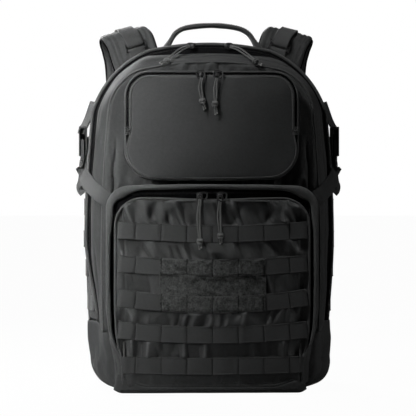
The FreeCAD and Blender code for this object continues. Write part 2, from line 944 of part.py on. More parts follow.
def make_upper_pocket():
    skin = upper_skin.value
    half = dim.upper_half.value
    low = dim.upper_low.value
    high = dim.upper_top.value
    radius = dim.upper_radius.value
    inset = dim.flap_inset.value
    hinge = dim.upper_hinge.value
    facing_plate(
        "upper_pocket_wall",
        -dim.front_depth,
        upper_face + skin,
        rounded(half, low, high, radius, radius + 6),
        rounded(half - skin, low + skin, high - skin, radius - skin, radius + 3),
    )
    # Rim: over the top and down both sides to the flap's fold, then the whole lower face.
    bulge = radius * (1 - math.sqrt(0.5))
    low_radius = radius + 6
    low_bulge = low_radius * (1 - math.sqrt(0.5))
    inner_half = half - inset
    inner_high = high - inset
    inner_radius = radius - inset
    inner_bulge = inner_radius * (1 - math.sqrt(0.5))
    start = (-half + radius, high)
    rim = [
        (half - radius, high),
        ((half - bulge, high - bulge), (half, high - radius)),
        (half, low + low_radius),
        ((half - low_bulge, low + low_bulge), (half - low_radius, low)),
        (-half + low_radius, low),
        ((-half + low_bulge, low + low_bulge), (-half, low + low_radius)),
        (-half, high - radius),
        ((-half + bulge, high - bulge), start),
    ]
    opening_start = (-inner_half + inner_radius, inner_high)
    opening = [
        (inner_half - inner_radius, inner_high),
        (
            (inner_half - inner_bulge, inner_high - inner_bulge),
            (inner_half, inner_high - inner_radius),
        ),
        (inner_half, hinge),
        (-inner_half, hinge),
        (-inner_half, inner_high - inner_radius),
        ((-inner_half + inner_bulge, inner_high - inner_bulge), opening_start),
    ]
    facing_plate(
        "upper_pocket_front",
        upper_face + skin,
        upper_face,
        (start, rim),
        (opening_start, opening),
    )
    gap = 1.5
    facing_plate(
        "upper_flap",
        upper_face + skin,
        upper_face,
        rounded(inner_half - gap, hinge + 0.5, inner_high - gap, inner_radius - gap, 1),
    )


make_upper_pocket()


# ---------------------------------------------------------------------------------------------
# Side webbing, compression straps and their side-release buckles

# The middle height of each of the four rows on a side, and the half width of the pack there.
SIDE_ROWS = ((277.0, 191.7), (227.0, 192.2), (181.0, 192.0), (127.0, 190.6))
SIDE_ROW_FRONT = 28.0
SIDE_ROW_LENGTH = 66.0
SIDE_WEBBING = 2.0  # thickness of the webbing sewn to the sides
SOCKET_INNER = 191.0
SOCKET_OUTER = 203.0
SOCKET_LOW = 356.0
SOCKET_HIGH = 402.0
SOCKET_FRONT = 26.0
SOCKET_WALL = 1.5
SOCKET_BACK_WALL = 2.0
SOCKET_BAR = 4.0  # height of the bar that the tab's webbing folds round
MALE_INNER = 195.2
MALE_OUTER = 200.2
MALE_LOW = 348.0
MALE_BODY = 10.0  # height of the gripped end, below the prongs
PRONG_LENGTH = 24.0
PRONG_WIDTH = 4.0


def make_side(side, name):
    """Everything sewn or clipped to one side of the pack."""
    webbing = dim.webbing.value
    across = Vector(0, 1, 0)
    middle = SOCKET_FRONT + dim.buckle_width.value / 2
    rows = []
    for height, half in SIDE_ROWS:
        corner = Vector(half, SIDE_ROW_FRONT, height - webbing / 2)
        band = Part.makeBox(SIDE_WEBBING, SIDE_ROW_LENGTH, webbing, corner)
        rows.append(band if side > 0 else band.mirror(Vector(0, 0, 0), Vector(1, 0, 0)))
    run = [
        (Vector(side * 186.8, middle, 436), across),
        (Vector(side * 189.8, middle, 418), across),
        (Vector(side * 196.5, middle, SOCKET_HIGH + 2.5), across),
    ]
    rows.append(ribbon(strap_frames(run), webbing, SIDE_WEBBING))
    shape_feature("side_webbing_" + name, Part.makeCompound(rows))

    # The socket is open to the front and below, so that its mate leaves it as the door folds.
    socket = new_body("side_socket_" + name)
    sketch = new_sketch(socket, "XY_Plane", Size(SOCKET_LOW))
    back = SOCKET_FRONT + dim.buckle_width.value
    outline = [
        (side * SOCKET_INNER, SOCKET_FRONT),
        (side * (SOCKET_INNER + SOCKET_WALL), SOCKET_FRONT),
        (side * (SOCKET_INNER + SOCKET_WALL), back - SOCKET_BACK_WALL),
        (side * (SOCKET_OUTER - SOCKET_WALL), back - SOCKET_BACK_WALL),
        (side * (SOCKET_OUTER - SOCKET_WALL), SOCKET_FRONT),
        (side * SOCKET_OUTER, SOCKET_FRONT),
        (side * SOCKET_OUTER, back),
        (side * SOCKET_INNER, back),
    ]
    draw(sketch, outline[0], outline[1:] + outline[:1])
    pad(socket, sketch, Size(SOCKET_HIGH - SOCKET_LOW))
    bar = new_sketch(socket, "XY_Plane", Size(SOCKET_HIGH - SOCKET_BAR))
    near, far = sorted((side * SOCKET_INNER, side * SOCKET_OUTER))
    rectangle(bar, Size(near), Size(far), Size(SOCKET_FRONT), Size(back))
    pad(socket, bar, Size(SOCKET_BAR))

    male = new_body("side_male_" + name)
    sketch = new_sketch(male, "XY_Plane", Size(MALE_LOW))
    near, far = sorted((side * MALE_INNER, side * MALE_OUTER))
    male_front = SOCKET_FRONT + 2
    male_back = back - 4
    rectangle(sketch, Size(near), Size(far), Size(male_front), Size(male_back))
    pad(male, sketch, Size(MALE_BODY))
    for low in (male_front, middle - 3, male_back - PRONG_WIDTH):
        prong = new_sketch(male, "XY_Plane", Size(MALE_LOW + MALE_BODY))
        rectangle(prong, Size(near), Size(far), Size(low), Size(low + PRONG_WIDTH))
        pad(male, prong, Size(PRONG_LENGTH))

    square = Vector(0, -0.355, 1)  # square to the strap, which rises towards the buckle
    strap_run = [
        (Vector(side * 193.6, 40, 333), square),
        (Vector(side * 193.6, 18, 327), square),
        (Vector(side * 181.5, -18, 314), square),
        (Vector(side * 169.5, -50, 302), square),
        (Vector(side * 158.5, -84, 289), square),
    ]
    shape_feature("compression_strap_" + name, ribbon(strap_frames(strap_run), webbing, SIDE_WEBBING))


for side, name in ((-1, "left"), (1, "right")):
    make_side(side, name)


# ---------------------------------------------------------------------------------------------
# Zip sliders and their knotted pull cords

RADIUS_SHARE = 0.45  # an arc's radius is this share of its shorter run, over tan(half the turn)


def cord_tube(label, points, diameter, knot_diameter):
    """A tube along straight runs joined by tangent arcs, ending in a round knot."""
    points = [Vector(*point) for point in points]
    edges = []
    here = points[0]
    for before, corner, after in zip(points, points[1:], points[2:]):
        inward = (corner - before).normalize()
        outward = (after - corner).normalize()
        turn = inward.getAngle(outward)
        shorter = min((corner - before).Length, (after - corner).Length)
        reach = RADIUS_SHARE * shorter
        radius = reach / math.tan(turn / 2)
        print("%s: arc radius %.1f mm" % (label, radius))
        entry = corner - inward * reach
        leave = corner + outward * reach
        to_centre = (outward - inward).normalize()
        centre = corner + to_centre * (radius / math.cos(turn / 2))
        middle = centre - to_centre * radius
        edges.append(Part.LineSegment(here, entry).toShape())
        edges.append(Part.Arc(entry, middle, leave).toShape())
        here = leave
    edges.append(Part.LineSegment(here, points[-1]).toShape())
    path = Part.Wire(edges)
    start = (points[1] - points[0]).normalize()
    section = Part.Wire(Part.makeCircle(diameter / 2, points[0], start))
    tube = path.makePipeShell([section], True, True)
    expected = math.pi * diameter**2 / 4 * path.Length
    if abs(tube.Volume - expected) > 0.02 * expected:
        raise RuntimeError("%s: the tube's volume is %.0f, not %.0f" % (label, tube.Volume, expected))
    knot = Part.makeSphere(knot_diameter / 2, points[-1])
    print("%s: %.1f mm long" % (label, path.Length))
    return shape_feature(label, tube.fuse(knot).removeSplitter())


def slider(label, centre, length, width, height, face):
    """A slider body with a raised bridge: length along X, height along Z, back at depth face."""
    x, z = centre
    body = new_body(label)
    sketch = facing_sketch(body, Size(face))
    rectangle(sketch, Size(x - length / 2), Size(x + length / 2), Size(z - height / 2), Size(z + height / 2))
    pad(body, sketch, Size(width))
    bridge = facing_sketch(body, Size(face - width))
    rectangle(bridge, Size(x - length / 4), Size(x + length / 4), Size(z - 1.5), Size(z + 1.5))
    pad(body, bridge, Size(2))


ORGANIZER_SLIDERS = {"left": -19.0, "right": 11.0}
UPPER_SLIDERS = {"left": -16.0, "right": 7.0}
MAIN_SLIDERS = {"left": -27.0, "right": 27.0}
ORGANIZER_ZIP = 293.5
UPPER_ZIP = 475.0
MAIN_ZIP = 527.0


def make_sliders():
    organizer = dim.organizer_depth.value
    upper = dim.upper_depth.value
    for name, x in ORGANIZER_SLIDERS.items():
        slider("organizer_slider_" + name, (x, ORGANIZER_ZIP), 11, 2.5, 7, -organizer - 0.5)
    for name, x in UPPER_SLIDERS.items():
        slider("upper_slider_" + name, (x, UPPER_ZIP), 11, 2.5, 7, -upper - 0.5)
    for name, x in MAIN_SLIDERS.items():
        slider("main_slider_" + name, (x, MAIN_ZIP), 11, 2.5, 7, rear_tape_front.value - 2.5)


def make_pulls():
    cord = dim.cord.value
    knot = dim.knot.value
    front = -dim.organizer_depth.value
    routes = {
        "organizer_pull_left": [
            (-19, front - 8, 288),
            (-21.5, front - 8.6, 268),
            (-20.5, front - 8.2, 246),
            (-19, front - 8.6, 226),
        ],
        "organizer_pull_right": [
            (11, front - 8, 288),
            (9.0, front - 8.6, 270),
            (9.8, front - 8.2, 252),
            (11.5, front - 8.6, 234),
        ],
    }
    front = -dim.upper_depth.value
    routes["upper_pull_left"] = [
        (-16, front - 8, 469),
        (-18, front - 7.2, 457),
        (-16.5, front - 6.2, 446),
        (-14.5, front - 6, 435),
    ]
    routes["upper_pull_right"] = [
        (7, front - 8, 469),
        (4.8, front - 7.2, 456),
        (5.0, front - 6.2, 444),
        (4.2, front - 6, 431),
    ]
    for side, name in ((-1, "left"), (1, "right")):
        routes["main_pull_" + name] = [
            (side * 31.5, 7, 525),
            (side * 41, -9, 521.5),
            (side * 55, -28, 510),
            (side * 67, -49, 498),
        ]
    for label, points in routes.items():
        cord_tube(label, points, cord, knot)


make_sliders()
make_pulls()


# ---------------------------------------------------------------------------------------------
# Recompute, check and write every sub-part

doc.recompute()
for item in doc.Objects:
    if "Invalid" in item.State or "Error" in item.State:
        raise RuntimeError("%s failed to compute: %s" % (item.Label, item.State))
for item in subparts:
    if item.Shape.isNull() or not item.Shape.isValid():
        raise RuntimeError("%s has no valid shape" % item.Label)

os.makedirs("parts", exist_ok=True)
for item in subparts:
    item.Shape.exportStep("parts/%s.step" % item.Label)
print("%d sub-parts written" % len(subparts))
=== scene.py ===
import math

import bpy
import numpy as np
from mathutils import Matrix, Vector
from mathutils.kdtree import KDTree


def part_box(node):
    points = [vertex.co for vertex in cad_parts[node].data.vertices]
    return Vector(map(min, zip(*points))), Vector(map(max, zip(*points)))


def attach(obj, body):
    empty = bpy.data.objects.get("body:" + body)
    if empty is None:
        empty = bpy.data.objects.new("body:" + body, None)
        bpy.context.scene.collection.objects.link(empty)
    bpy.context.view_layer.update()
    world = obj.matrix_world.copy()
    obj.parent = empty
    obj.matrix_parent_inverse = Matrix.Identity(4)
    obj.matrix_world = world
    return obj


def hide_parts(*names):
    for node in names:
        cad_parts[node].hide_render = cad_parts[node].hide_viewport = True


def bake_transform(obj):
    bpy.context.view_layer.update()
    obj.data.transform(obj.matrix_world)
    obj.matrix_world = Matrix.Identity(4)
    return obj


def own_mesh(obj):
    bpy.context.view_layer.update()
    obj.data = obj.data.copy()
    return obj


# A panel-loading trauma backpack.  Shapes are worked out in millimetres in the frame's axes (X across,
# -Y to the front, Z up) and turned into metres when a piece is made.

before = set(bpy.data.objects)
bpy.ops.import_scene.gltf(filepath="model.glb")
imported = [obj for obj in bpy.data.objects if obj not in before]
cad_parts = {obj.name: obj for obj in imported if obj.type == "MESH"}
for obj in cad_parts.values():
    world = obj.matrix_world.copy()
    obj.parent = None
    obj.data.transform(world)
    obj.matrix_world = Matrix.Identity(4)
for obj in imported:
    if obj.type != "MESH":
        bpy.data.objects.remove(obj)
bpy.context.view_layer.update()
MM = 0.001


def edge(node, corner, axis):
    """One side of a CAD node's box in millimetres."""
    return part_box(node)[corner]["xyz".index(axis)] / MM


BACK = edge("back_panel", 1, "y")
ZIP = edge("rear_piping", 0, "y")
DOOR_ZIP = edge("front_gusset", 1, "y")
FRONT = edge("front_panel", 0, "y")
UPPER = edge("upper_flap", 0, "y")
ORGANIZER = edge("organizer_cover", 0, "y")
COVER_HALF = edge("organizer_cover", 1, "x")
COVER_TOP = edge("organizer_cover", 1, "z")
LIP_TOP = edge("organizer_lip", 1, "z")
LIP_HALF = edge("organizer_lip", 1, "x")
UPPER_HALF = edge("upper_pocket_front", 1, "x")
UPPER_TOP = edge("upper_pocket_front", 1, "z")
UPPER_LOW = edge("upper_pocket_front", 0, "z")
FLAP_FOLD = edge("upper_flap", 0, "z")
HANDLE_CROWN = edge("grab_handle", 1, "z")
WEBBING = 25.4
TACK_PITCH = 38.1
MIDDLE_HEIGHT = 260
LEFT_DRAW, RIGHT_DRAW = 15, 4  # how far the zip's feet are drawn in towards the front

# ---- Numbers: smooth steps, noise, outlines


def smooth(value):
    value = np.clip(value, 0, 1)
    return value * value * (3 - 2 * value)


def bell(value):
    return np.exp(-(value**2))


def noise(u, v, seed):
    """Smooth noise from -1 to 1 on a lattice of unit cells."""
    size = 61
    table = np.random.RandomState(seed).uniform(-1, 1, (size, size))
    u, v = np.broadcast_arrays(np.asarray(u, float), np.asarray(v, float))
    column, row = np.floor(u).astype(int), np.floor(v).astype(int)
    across, up = smooth(u - column), smooth(v - row)
    low = table[column % size, row % size] * (1 - across) + table[(column + 1) % size, row % size] * across
    row += 1
    high = table[column % size, row % size] * (1 - across) + table[(column + 1) % size, row % size] * across
    return low * (1 - up) + high * up


def creases(u, v, seed):
    """Ridges from 0 to 1: narrow crests between wide hollows."""
    first = 1 - np.abs(noise(u, v, seed)) * 2.2
    second = 1 - np.abs(noise(u * 2.1 + 7, v * 1.6 + 3, seed + 1)) * 2.2
    return np.clip(0.7 * first + 0.3 * second, 0, 1)


def circle_through(a, b, c):
    rows = np.array([[2 * (b[0] - a[0]), 2 * (b[1] - a[1])], [2 * (c[0] - a[0]), 2 * (c[1] - a[1])]])
    sides = [b[0] ** 2 + b[1] ** 2 - a[0] ** 2 - a[1] ** 2, c[0] ** 2 + c[1] ** 2 - a[0] ** 2 - a[1] ** 2]
    centre = np.linalg.solve(rows, sides)
    return centre, math.dist(centre, a)


def arc(a, through, b, count):
    """count points from a towards b along the circle through three points, without b."""
    centre, radius = circle_through(a, through, b)
    start = math.atan2(a[1] - centre[1], a[0] - centre[0])
    turn = (math.atan2(b[1] - centre[1], b[0] - centre[0]) - start + math.pi) % (2 * math.pi) - math.pi
    angles = start + turn * np.arange(count) / count
    return np.stack([centre[0] + radius * np.cos(angles), centre[1] + radius * np.sin(angles)], 1)


def resampled(points, count, closed=False):
    points = np.asarray(points, float)
    if closed:
        points = np.vstack([points, points[:1]])
    run = np.concatenate([[0], np.cumsum(np.linalg.norm(np.diff(points, axis=0), axis=1))])
    at = np.linspace(0, run[-1], count, endpoint=not closed)
    return np.stack([np.interp(at, run, points[:, axis]) for axis in range(points.shape[1])], 1)


def offset(outline, distance, closed=False):
    """A front-view outline moved to its left by distance, so an arch drawn left to right grows."""
    if closed:
        along = np.roll(outline, -1, 0) - np.roll(outline, 1, 0)
    else:
        along = np.gradient(outline, axis=0)
    along = along / np.linalg.norm(along, axis=1)[:, None]
    normal = np.stack([-along[:, 1], along[:, 0]], 1)
    return outline + normal * np.asarray(distance).reshape(-1, 1)


# Crown top, crown end, shoulder, side top, side and side low of the shell's two outlines.
ZIP_KEYS = ((0, 532), (95, 521), (150, 483), (183, 425), (194, 215), (186, 45))
FRONT_KEYS = ((0, 497), (92, 488), (137, 465), (156, 420), (166, 225), (164, 98))


def arch(keys, low):
    """The outline from its left foot at height low, over the crown, to its right foot."""
    crown, crown_end, shoulder, side_top, side, side_low = keys
    centre, radius = circle_through(side_top, side, side_low)
    foot = (centre[0] + math.sqrt(radius**2 - (low - centre[1]) ** 2), low)
    other_end = (-crown_end[0], crown_end[1])
    right = np.vstack(
        [
            arc(foot, side, side_top, 56),
            arc(side_top, shoulder, crown_end, 26),
            arc(crown_end, crown, other_end, 48)[:24],
        ]
    )
    left = right * (-1, 1)
    return np.vstack([left, [crown], right[::-1]])


def zip_arch(inset, low, drawn_in=1.0):
    """The shell's outline at the main zip; near its feet the zip is drawn in towards the front."""
    line = arch(ZIP_KEYS, low)
    amount = np.where(line[:, 0] < 0, LEFT_DRAW, RIGHT_DRAW)
    line[:, 0] -= np.sign(line[:, 0]) * amount * drawn_in * smooth((235 - line[:, 1]) / 140)
    return offset(line, -np.asarray(inset))


def rounded(half, low, high, top_radius, low_radius):
    """A closed rounded rectangle, from the middle of its base, up its left side and round."""
    points = [np.array([(0, low)])]
    left = -half
    corners = (
        (
            (left + low_radius, low),
            (left, low + low_radius),
            low_radius,
            (left + low_radius, low + low_radius),
        ),
        (
            (left, high - top_radius),
            (left + top_radius, high),
            top_radius,
            (left + top_radius, high - top_radius),
        ),
    )
    for start, end, radius, centre in corners:
        spread = radius * math.sqrt(0.5)
        sign = -1 if start[1] == low else 1
        points.append(arc(start, (centre[0] - spread, centre[1] + sign * spread), end, 12))
        points.append(np.array([end]))
    half_line = np.vstack(points)
    other = (half_line[1:] * (-1, 1))[::-1]
    return np.vstack([half_line, other])


def pocket_arch(feet, half, high, radius):
    """A pocket's outline from its left foot, over rounded corners; feet are (drawn in, height)."""
    spread = radius * math.sqrt(0.5)
    side = [(-half + drawn_in, height) for drawn_in, height in feet]
    corner = arc(
        (-half, high - radius), (-half + radius - spread, high - radius + spread), (-half + radius, high), 20
    )
    left = np.vstack([side, corner, [(-half + radius, high)]])
    return np.vstack([left, (left * (-1, 1))[::-1]])


def organizer_arch(inset, low, pinch=13):
    """The organizer's outline from its left foot over its top to its right foot, pinched in at its feet."""
    half, high = LIP_HALF - inset, LIP_TOP - inset
    feet = [(pinch, low), (pinch - 0.5, 42), (pinch - 3, 54), (pinch * 0.42, 74), (3.5, 96), (0, 124)]
    line = resampled(pocket_arch(feet, half, high, 32 - inset), 241)
    line[:, 1] += 3 * (1 - (line[:, 0] / half) ** 2) * smooth((line[:, 1] - high + 60) / 50)
    return line


# ---- Meshes


def unit(vectors):
    return vectors / np.maximum(np.linalg.norm(vectors, axis=-1, keepdims=True), 1e-9)


def normals_of(points, loop=False, around=False):
    """Unit normals of a grid of points, rows by columns."""
    along = np.roll(points, -1, 0) - np.roll(points, 1, 0) if loop else np.gradient(points, axis=0)
    across = np.roll(points, -1, 1) - np.roll(points, 1, 1) if around else np.gradient(points, axis=1)
    return unit(np.cross(across, along))


def pushed(points, distance, out):
    """A grid moved along its normals, which are turned to the side of the direction out."""
    normal = normals_of(points)
    hint = np.broadcast_to(out(points) if callable(out) else np.array(out, float), points.shape)
    sign = np.where((normal * hint).sum(-1, keepdims=True) < 0, -1, 1)
    return points + normal * sign * np.asarray(distance)[..., None]


def away_from(height):
    """A function giving the outward direction at points, from a line along Y at a height."""
    return lambda points: points * (1, 0, 1) - (0, 0, height)


from_middle = away_from(MIDDLE_HEIGHT)
boot_out = away_from(60)
upper_out = away_from(400)
from_organizer = away_from(150)


def depth_grid(outlines, depths):
    """Front-view outlines at their depths as one grid of points."""
    return np.stack([raised(line, y) for line, y in zip(outlines, depths)])


def toward(middle, line, share):
    """A line shrunk to a share of its size about a middle point."""
    return np.array(middle, float) + (line - np.array(middle, float)) * share


def rounded_grid(line, middle, shares, depth, dip, reach):
    """A face drawn from its outline to its middle, dipping into the seam round its edge."""
    rows = []
    for share in shares:
        drawn = toward(middle, line, share)
        tuck = dip * (1 - smooth((1 - share) / reach)) ** 2
        rows.append(raised(drawn, depth(drawn[:, 0], drawn[:, 1]) + tuck))
    return np.stack(rows)


def linked(name, data):
    item = bpy.data.objects.new(name, data)
    bpy.context.scene.collection.objects.link(item)
    return item


class Piece:
    """Grids and small solids gathered into one mesh."""

    def __init__(self):
        self.points, self.faces, self.uv, self.count = [], [], [], 0

    def grid(self, points, around=False, loop=False, caps=False, out=None):
        """Rows by columns of points; around closes each row, loop joins the last row to the first."""
        points = np.asarray(points, float)
        rows, columns = points.shape[:2]
        flip = False
        if out is not None:
            normal = normals_of(points, loop, around)
            hint = out(points) if callable(out) else np.array(out, float)
            flip = (normal * hint).sum() > 0
        u_step = np.linalg.norm(np.diff(points, axis=0), axis=2).mean(1)
        v_step = np.linalg.norm(np.diff(points, axis=1), axis=2).mean(0)
        u_run = np.concatenate([[0], np.cumsum(u_step), [0]]) * MM
        v_run = np.concatenate([[0], np.cumsum(v_step), [0]]) * MM
        u_run[-1] = 2 * u_run[-2] - u_run[-3]
        v_run[-1] = 2 * v_run[-2] - v_run[-3]
        for row in range(rows if loop else rows - 1):
            for column in range(columns if around else columns - 1):
                next_row, next_column = (row + 1) % rows, (column + 1) % columns
                ring = [
                    (row, column, u_run[row], v_run[column]),
                    (next_row, column, u_run[row + 1], v_run[column]),
                    (next_row, next_column, u_run[row + 1], v_run[column + 1]),
                    (row, next_column, u_run[row], v_run[column + 1]),
                ]
                if not flip:
                    ring.reverse()
                self.faces.append([self.count + r * columns + c for r, c, _, _ in ring])
                self.uv.extend((v, u) for _, _, u, v in ring)
        if caps:
            for row in (rows - 1,) if caps == "last" else (0, rows - 1):
                ring = [self.count + row * columns + c for c in range(columns)]
                if (row == 0) != flip:
                    ring.reverse()
                self.faces.append(ring)
                self.uv.extend([(0, 0)] * columns)
        self.points.append(points.reshape(-1, 3))
        self.count += rows * columns
        return self

    def tube(self, path, section, up, closed=False):
        """A section swept along a path, capped at its ends unless the path is closed."""
        return self.grid(sweep(path, section, up, closed), around=True, loop=closed, caps=not closed)

    def bead(self, centre, along, out, length, width, height):
        """One stitch or ball: a small faceted spindle."""
        along, out = unit(np.array(along, float)), unit(np.array(out, float))
        side = unit(np.cross(along, out))
        centre = np.array(centre, float)
        points = [centre - along * length / 2, centre + along * length / 2]
        for turn in range(4):
            angle = math.pi / 2 * turn
            points.append(centre + side * math.cos(angle) * width / 2 + out * math.sin(angle) * height / 2)
        base = self.count
        for turn in range(4):
            here, there = base + 2 + turn, base + 2 + (turn + 1) % 4
            self.faces += [[base, there, here], [base + 1, here, there]]
            self.uv.extend([(0, 0)] * 6)
        self.points.append(np.array(points))
        self.count += 6
        return self

    def seam(self, line, out, pitch=4.2, length=3.1, width=0.9, height=0.8):
        """A row of stitches along a line of points."""
        line = np.asarray(line, float)
        total = np.linalg.norm(np.diff(line, axis=0), axis=1).sum()
        line = resampled(line, max(3, int(total / pitch)))
        tangent = np.gradient(line, axis=0)
        for point, along in zip(line, tangent):
            direction = out(point) if callable(out) else out
            self.bead(point, along, direction, length, width, height)
        return self

    def make(self, name, material, body=None, slot=None, replaces=(), thickness=0.0, level=0, flat=False):
        mesh = bpy.data.meshes.new(name)
        mesh.from_pydata((np.vstack(self.points) * MM).tolist(), [], self.faces)
        layer = mesh.uv_layers.new(name="UVMap")
        layer.data.foreach_set("uv", np.array(self.uv, np.float32).ravel())
        mesh.polygons.foreach_set("use_smooth", [not flat] * len(mesh.polygons))
        mesh.materials.append(material)
        mesh.update()
        item = linked(name, mesh)
        if thickness:
            shell = item.modifiers.new("thickness", "SOLIDIFY")
            shell.thickness = thickness * MM
            shell.offset = -1
        if level:
            rounding = item.modifiers.new("rounding", "SUBSURF")
            rounding.levels = rounding.render_levels = level
        if body:
            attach(item, body)
        if replaces:
            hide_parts(*replaces)
        return item


def sweep(path, section, up, closed=False):
    """A section of (side, rise) points carried along a path; up says which way rise points."""
    path = np.asarray(path, float)
    tangent = np.roll(path, -1, 0) - np.roll(path, 1, 0) if closed else np.gradient(path, axis=0)
    tangent = unit(tangent)
    up = np.broadcast_to(np.array(up, float), path.shape)
    side = unit(np.cross(tangent, up))
    rise = np.cross(side, tangent)
    section = np.asarray(section, float)
    if section.ndim == 2:
        section = np.broadcast_to(section, (len(path),) + section.shape)
    return path[:, None] + section[..., :1] * side[:, None] + section[..., 1:] * rise[:, None]


def ring(radius, sides=8, flatten=1.0):
    angles = np.arange(sides) * 2 * math.pi / sides
    return np.stack([radius * np.cos(angles), radius * flatten * np.sin(angles)], 1)


def squared_off(wave, power):
    """A sine or cosine drawn towards a square wave, for sections with rounded corners."""
    return np.sign(wave) * np.abs(wave) ** power


def strap_section(width, thickness):
    """A flat strap's section with rounded edges and, on its face, a raised selvedge along each."""
    w, t = width / 2, thickness / 2
    lower = [(-w, -t * 0.5), (-w + t * 0.6, -t), (w - t * 0.6, -t), (w, -t * 0.5), (w, t * 0.6)]
    upper = [(w - 0.6, t + 0.3), (w - 1.5, t + 0.3), (w - 2.2, t - 0.1), (w - 3.4, t)]
    return lower + upper + [(-x, z) for x, z in upper[::-1]] + [(-w, t * 0.6)]


def catmull(points, per_span):
    """A smooth line through the points."""
    points = np.asarray(points, float)
    padded = np.vstack([2 * points[0] - points[1], points, 2 * points[-1] - points[-2]])
    line = []
    for index in range(1, len(padded) - 2):
        a, b, c, d = padded[index - 1 : index + 3]
        for step in np.arange(per_span) / per_span:
            line.append(
                0.5
                * (
                    2 * b
                    + (c - a) * step
                    + (2 * a - 5 * b + 4 * c - d) * step**2
                    + (3 * b - a - 3 * c + d) * step**3
                )
            )
    line.append(points[-1])
    return np.array(line)


def raised(line, depth):
    """A front-view line of (x, z) as points at a depth: a number, numbers or a function of x, z."""
    line = np.asarray(line, float)
    y = depth(line[:, 0], line[:, 1]) if callable(depth) else np.broadcast_to(depth, len(line))
    return np.column_stack([line[:, 0], y, line[:, 1]])


# ---- Materials


class Shader:
    """A Principled material with a few helpers for its nodes."""

    def __init__(self, name):
        self.material = bpy.data.materials.new(name)
        self.material.use_nodes = True
        self.tree = self.material.node_tree
        self.surface = self.tree.nodes["Principled BSDF"]

    def node(self, kind, inputs=(), **settings):
        made = self.tree.nodes.new(kind)
        for key, value in settings.items():
            setattr(made, key, value)
        for key, value in dict(inputs).items():
            if isinstance(value, bpy.types.NodeSocket):
                self.tree.links.new(value, made.inputs[key])
            else:
                made.inputs[key].default_value = value
        return made

    def math(self, operation, *values):
        return self.node("ShaderNodeMath", dict(enumerate(values)), operation=operation).outputs[0]

    def place(self, mapping):
        """Coordinates in metres: along the piece's own grid, or in the plane it faces."""
        coordinates = self.node("ShaderNodeTexCoord")
        if mapping == "grid":
            return coordinates.outputs["UV"]
        here = self.node("ShaderNodeSeparateXYZ", {0: coordinates.outputs["Object"]}).outputs
        facing = self.node("ShaderNodeSeparateXYZ", {0: coordinates.outputs["Normal"]}).outputs
        size = [self.math("ABSOLUTE", axis) for axis in facing]
        sideways = self.math("GREATER_THAN", size[0], self.math("MAXIMUM", size[1], size[2]))
        upward = self.math("GREATER_THAN", size[2], self.math("MAXIMUM", size[0], size[1]))
        first = self.node("ShaderNodeMix", {0: sideways, 2: here[0], 3: here[1]}).outputs[0]
        second = self.node("ShaderNodeMix", {0: upward, 2: here[2], 3: here[1]}).outputs[0]
        return self.node("ShaderNodeCombineXYZ", {0: first, 1: second}).outputs[0]

    def specks(self, scale, detail, where=None, **more):
        """Fine noise fixed to the piece."""
        where = where or self.node("ShaderNodeTexCoord").outputs["Object"]
        return self.node(
            "ShaderNodeTexNoise", {"Vector": where, "Scale": scale, "Detail": detail, **more}
        ).outputs[0]

    def levels(self, value, low, high, start=0.0, end=1.0):
        """The value's range from start to end turned into low to high."""
        inputs = {"Value": value, "From Min": start, "From Max": end, "To Min": low, "To Max": high}
        return self.node("ShaderNodeMapRange", inputs).outputs[0]

    def times(self, colour, factor):
        inputs = {0: 1.0, 6: colour, 7: factor}
        return self.node("ShaderNodeMix", inputs, data_type="RGBA", blend_type="MULTIPLY").outputs[2]

    def ribs(self, axis, pitch):
        wave = self.math("SINE", self.math("MULTIPLY", axis, math.pi / (pitch * MM)))
        return wave, self.math("ABSOLUTE", wave)

    def weave(self, place, warp, weft):
        """Over-and-under threads: height from 0 to 1."""
        axes = self.node("ShaderNodeSeparateXYZ", {0: place}).outputs
        wave_a, rib_a = self.ribs(axes[0], warp)
        wave_b, rib_b = self.ribs(axes[1], weft)
        over = self.math("GREATER_THAN", self.math("MULTIPLY", wave_a, wave_b), 0.0)
        return self.node("ShaderNodeMix", {0: over, 2: rib_a, 3: rib_b}).outputs[0]

    def mottled(self, colour, amount, scales=(9.0, 260.0)):
        """The colour, darker and lighter in soft patches and in fine specks."""
        where = self.node("ShaderNodeTexCoord").outputs["Object"]
        both = self.math("ADD", self.specks(scales[0], 3.0, where), self.specks(scales[1], 2.0, where))
        factor = self.levels(both, 1 - amount, 1 + amount, 0.6, 1.4)
        base = self.node("ShaderNodeRGB")
        base.outputs[0].default_value = (*colour, 1)
        return self.times(base.outputs[0], factor)

    def edge_wear_and_painted_light(self, colour, amount):
        """Lighter on outer edges, as rubbing and as a painted highlight; darker in folds and hollows, as
        painted shade.
        """
        pointiness = self.node("ShaderNodeNewGeometry").outputs["Pointiness"]
        return self.times(colour, self.levels(pointiness, 1 - amount, 1 + amount, 0.44, 0.56))

    def bump(self, height, distance, strength=1.0):
        made = self.node(
            "ShaderNodeBump", {"Height": height, "Distance": distance * MM, "Strength": strength}
        )
        self.tree.links.new(made.outputs[0], self.surface.inputs["Normal"])

    def finish(self, colour, roughness, sheen=0.0, metallic=0.0, specular=0.5):
        self.tree.links.new(colour, self.surface.inputs["Base Color"])
        self.surface.inputs["Roughness"].default_value = roughness
        self.surface.inputs["Metallic"].default_value = metallic
        self.surface.inputs["Specular IOR Level"].default_value = specular
        self.surface.inputs["Sheen Weight"].default_value = sheen
        self.surface.inputs["Sheen Roughness"].default_value = 0.45
        return self.material


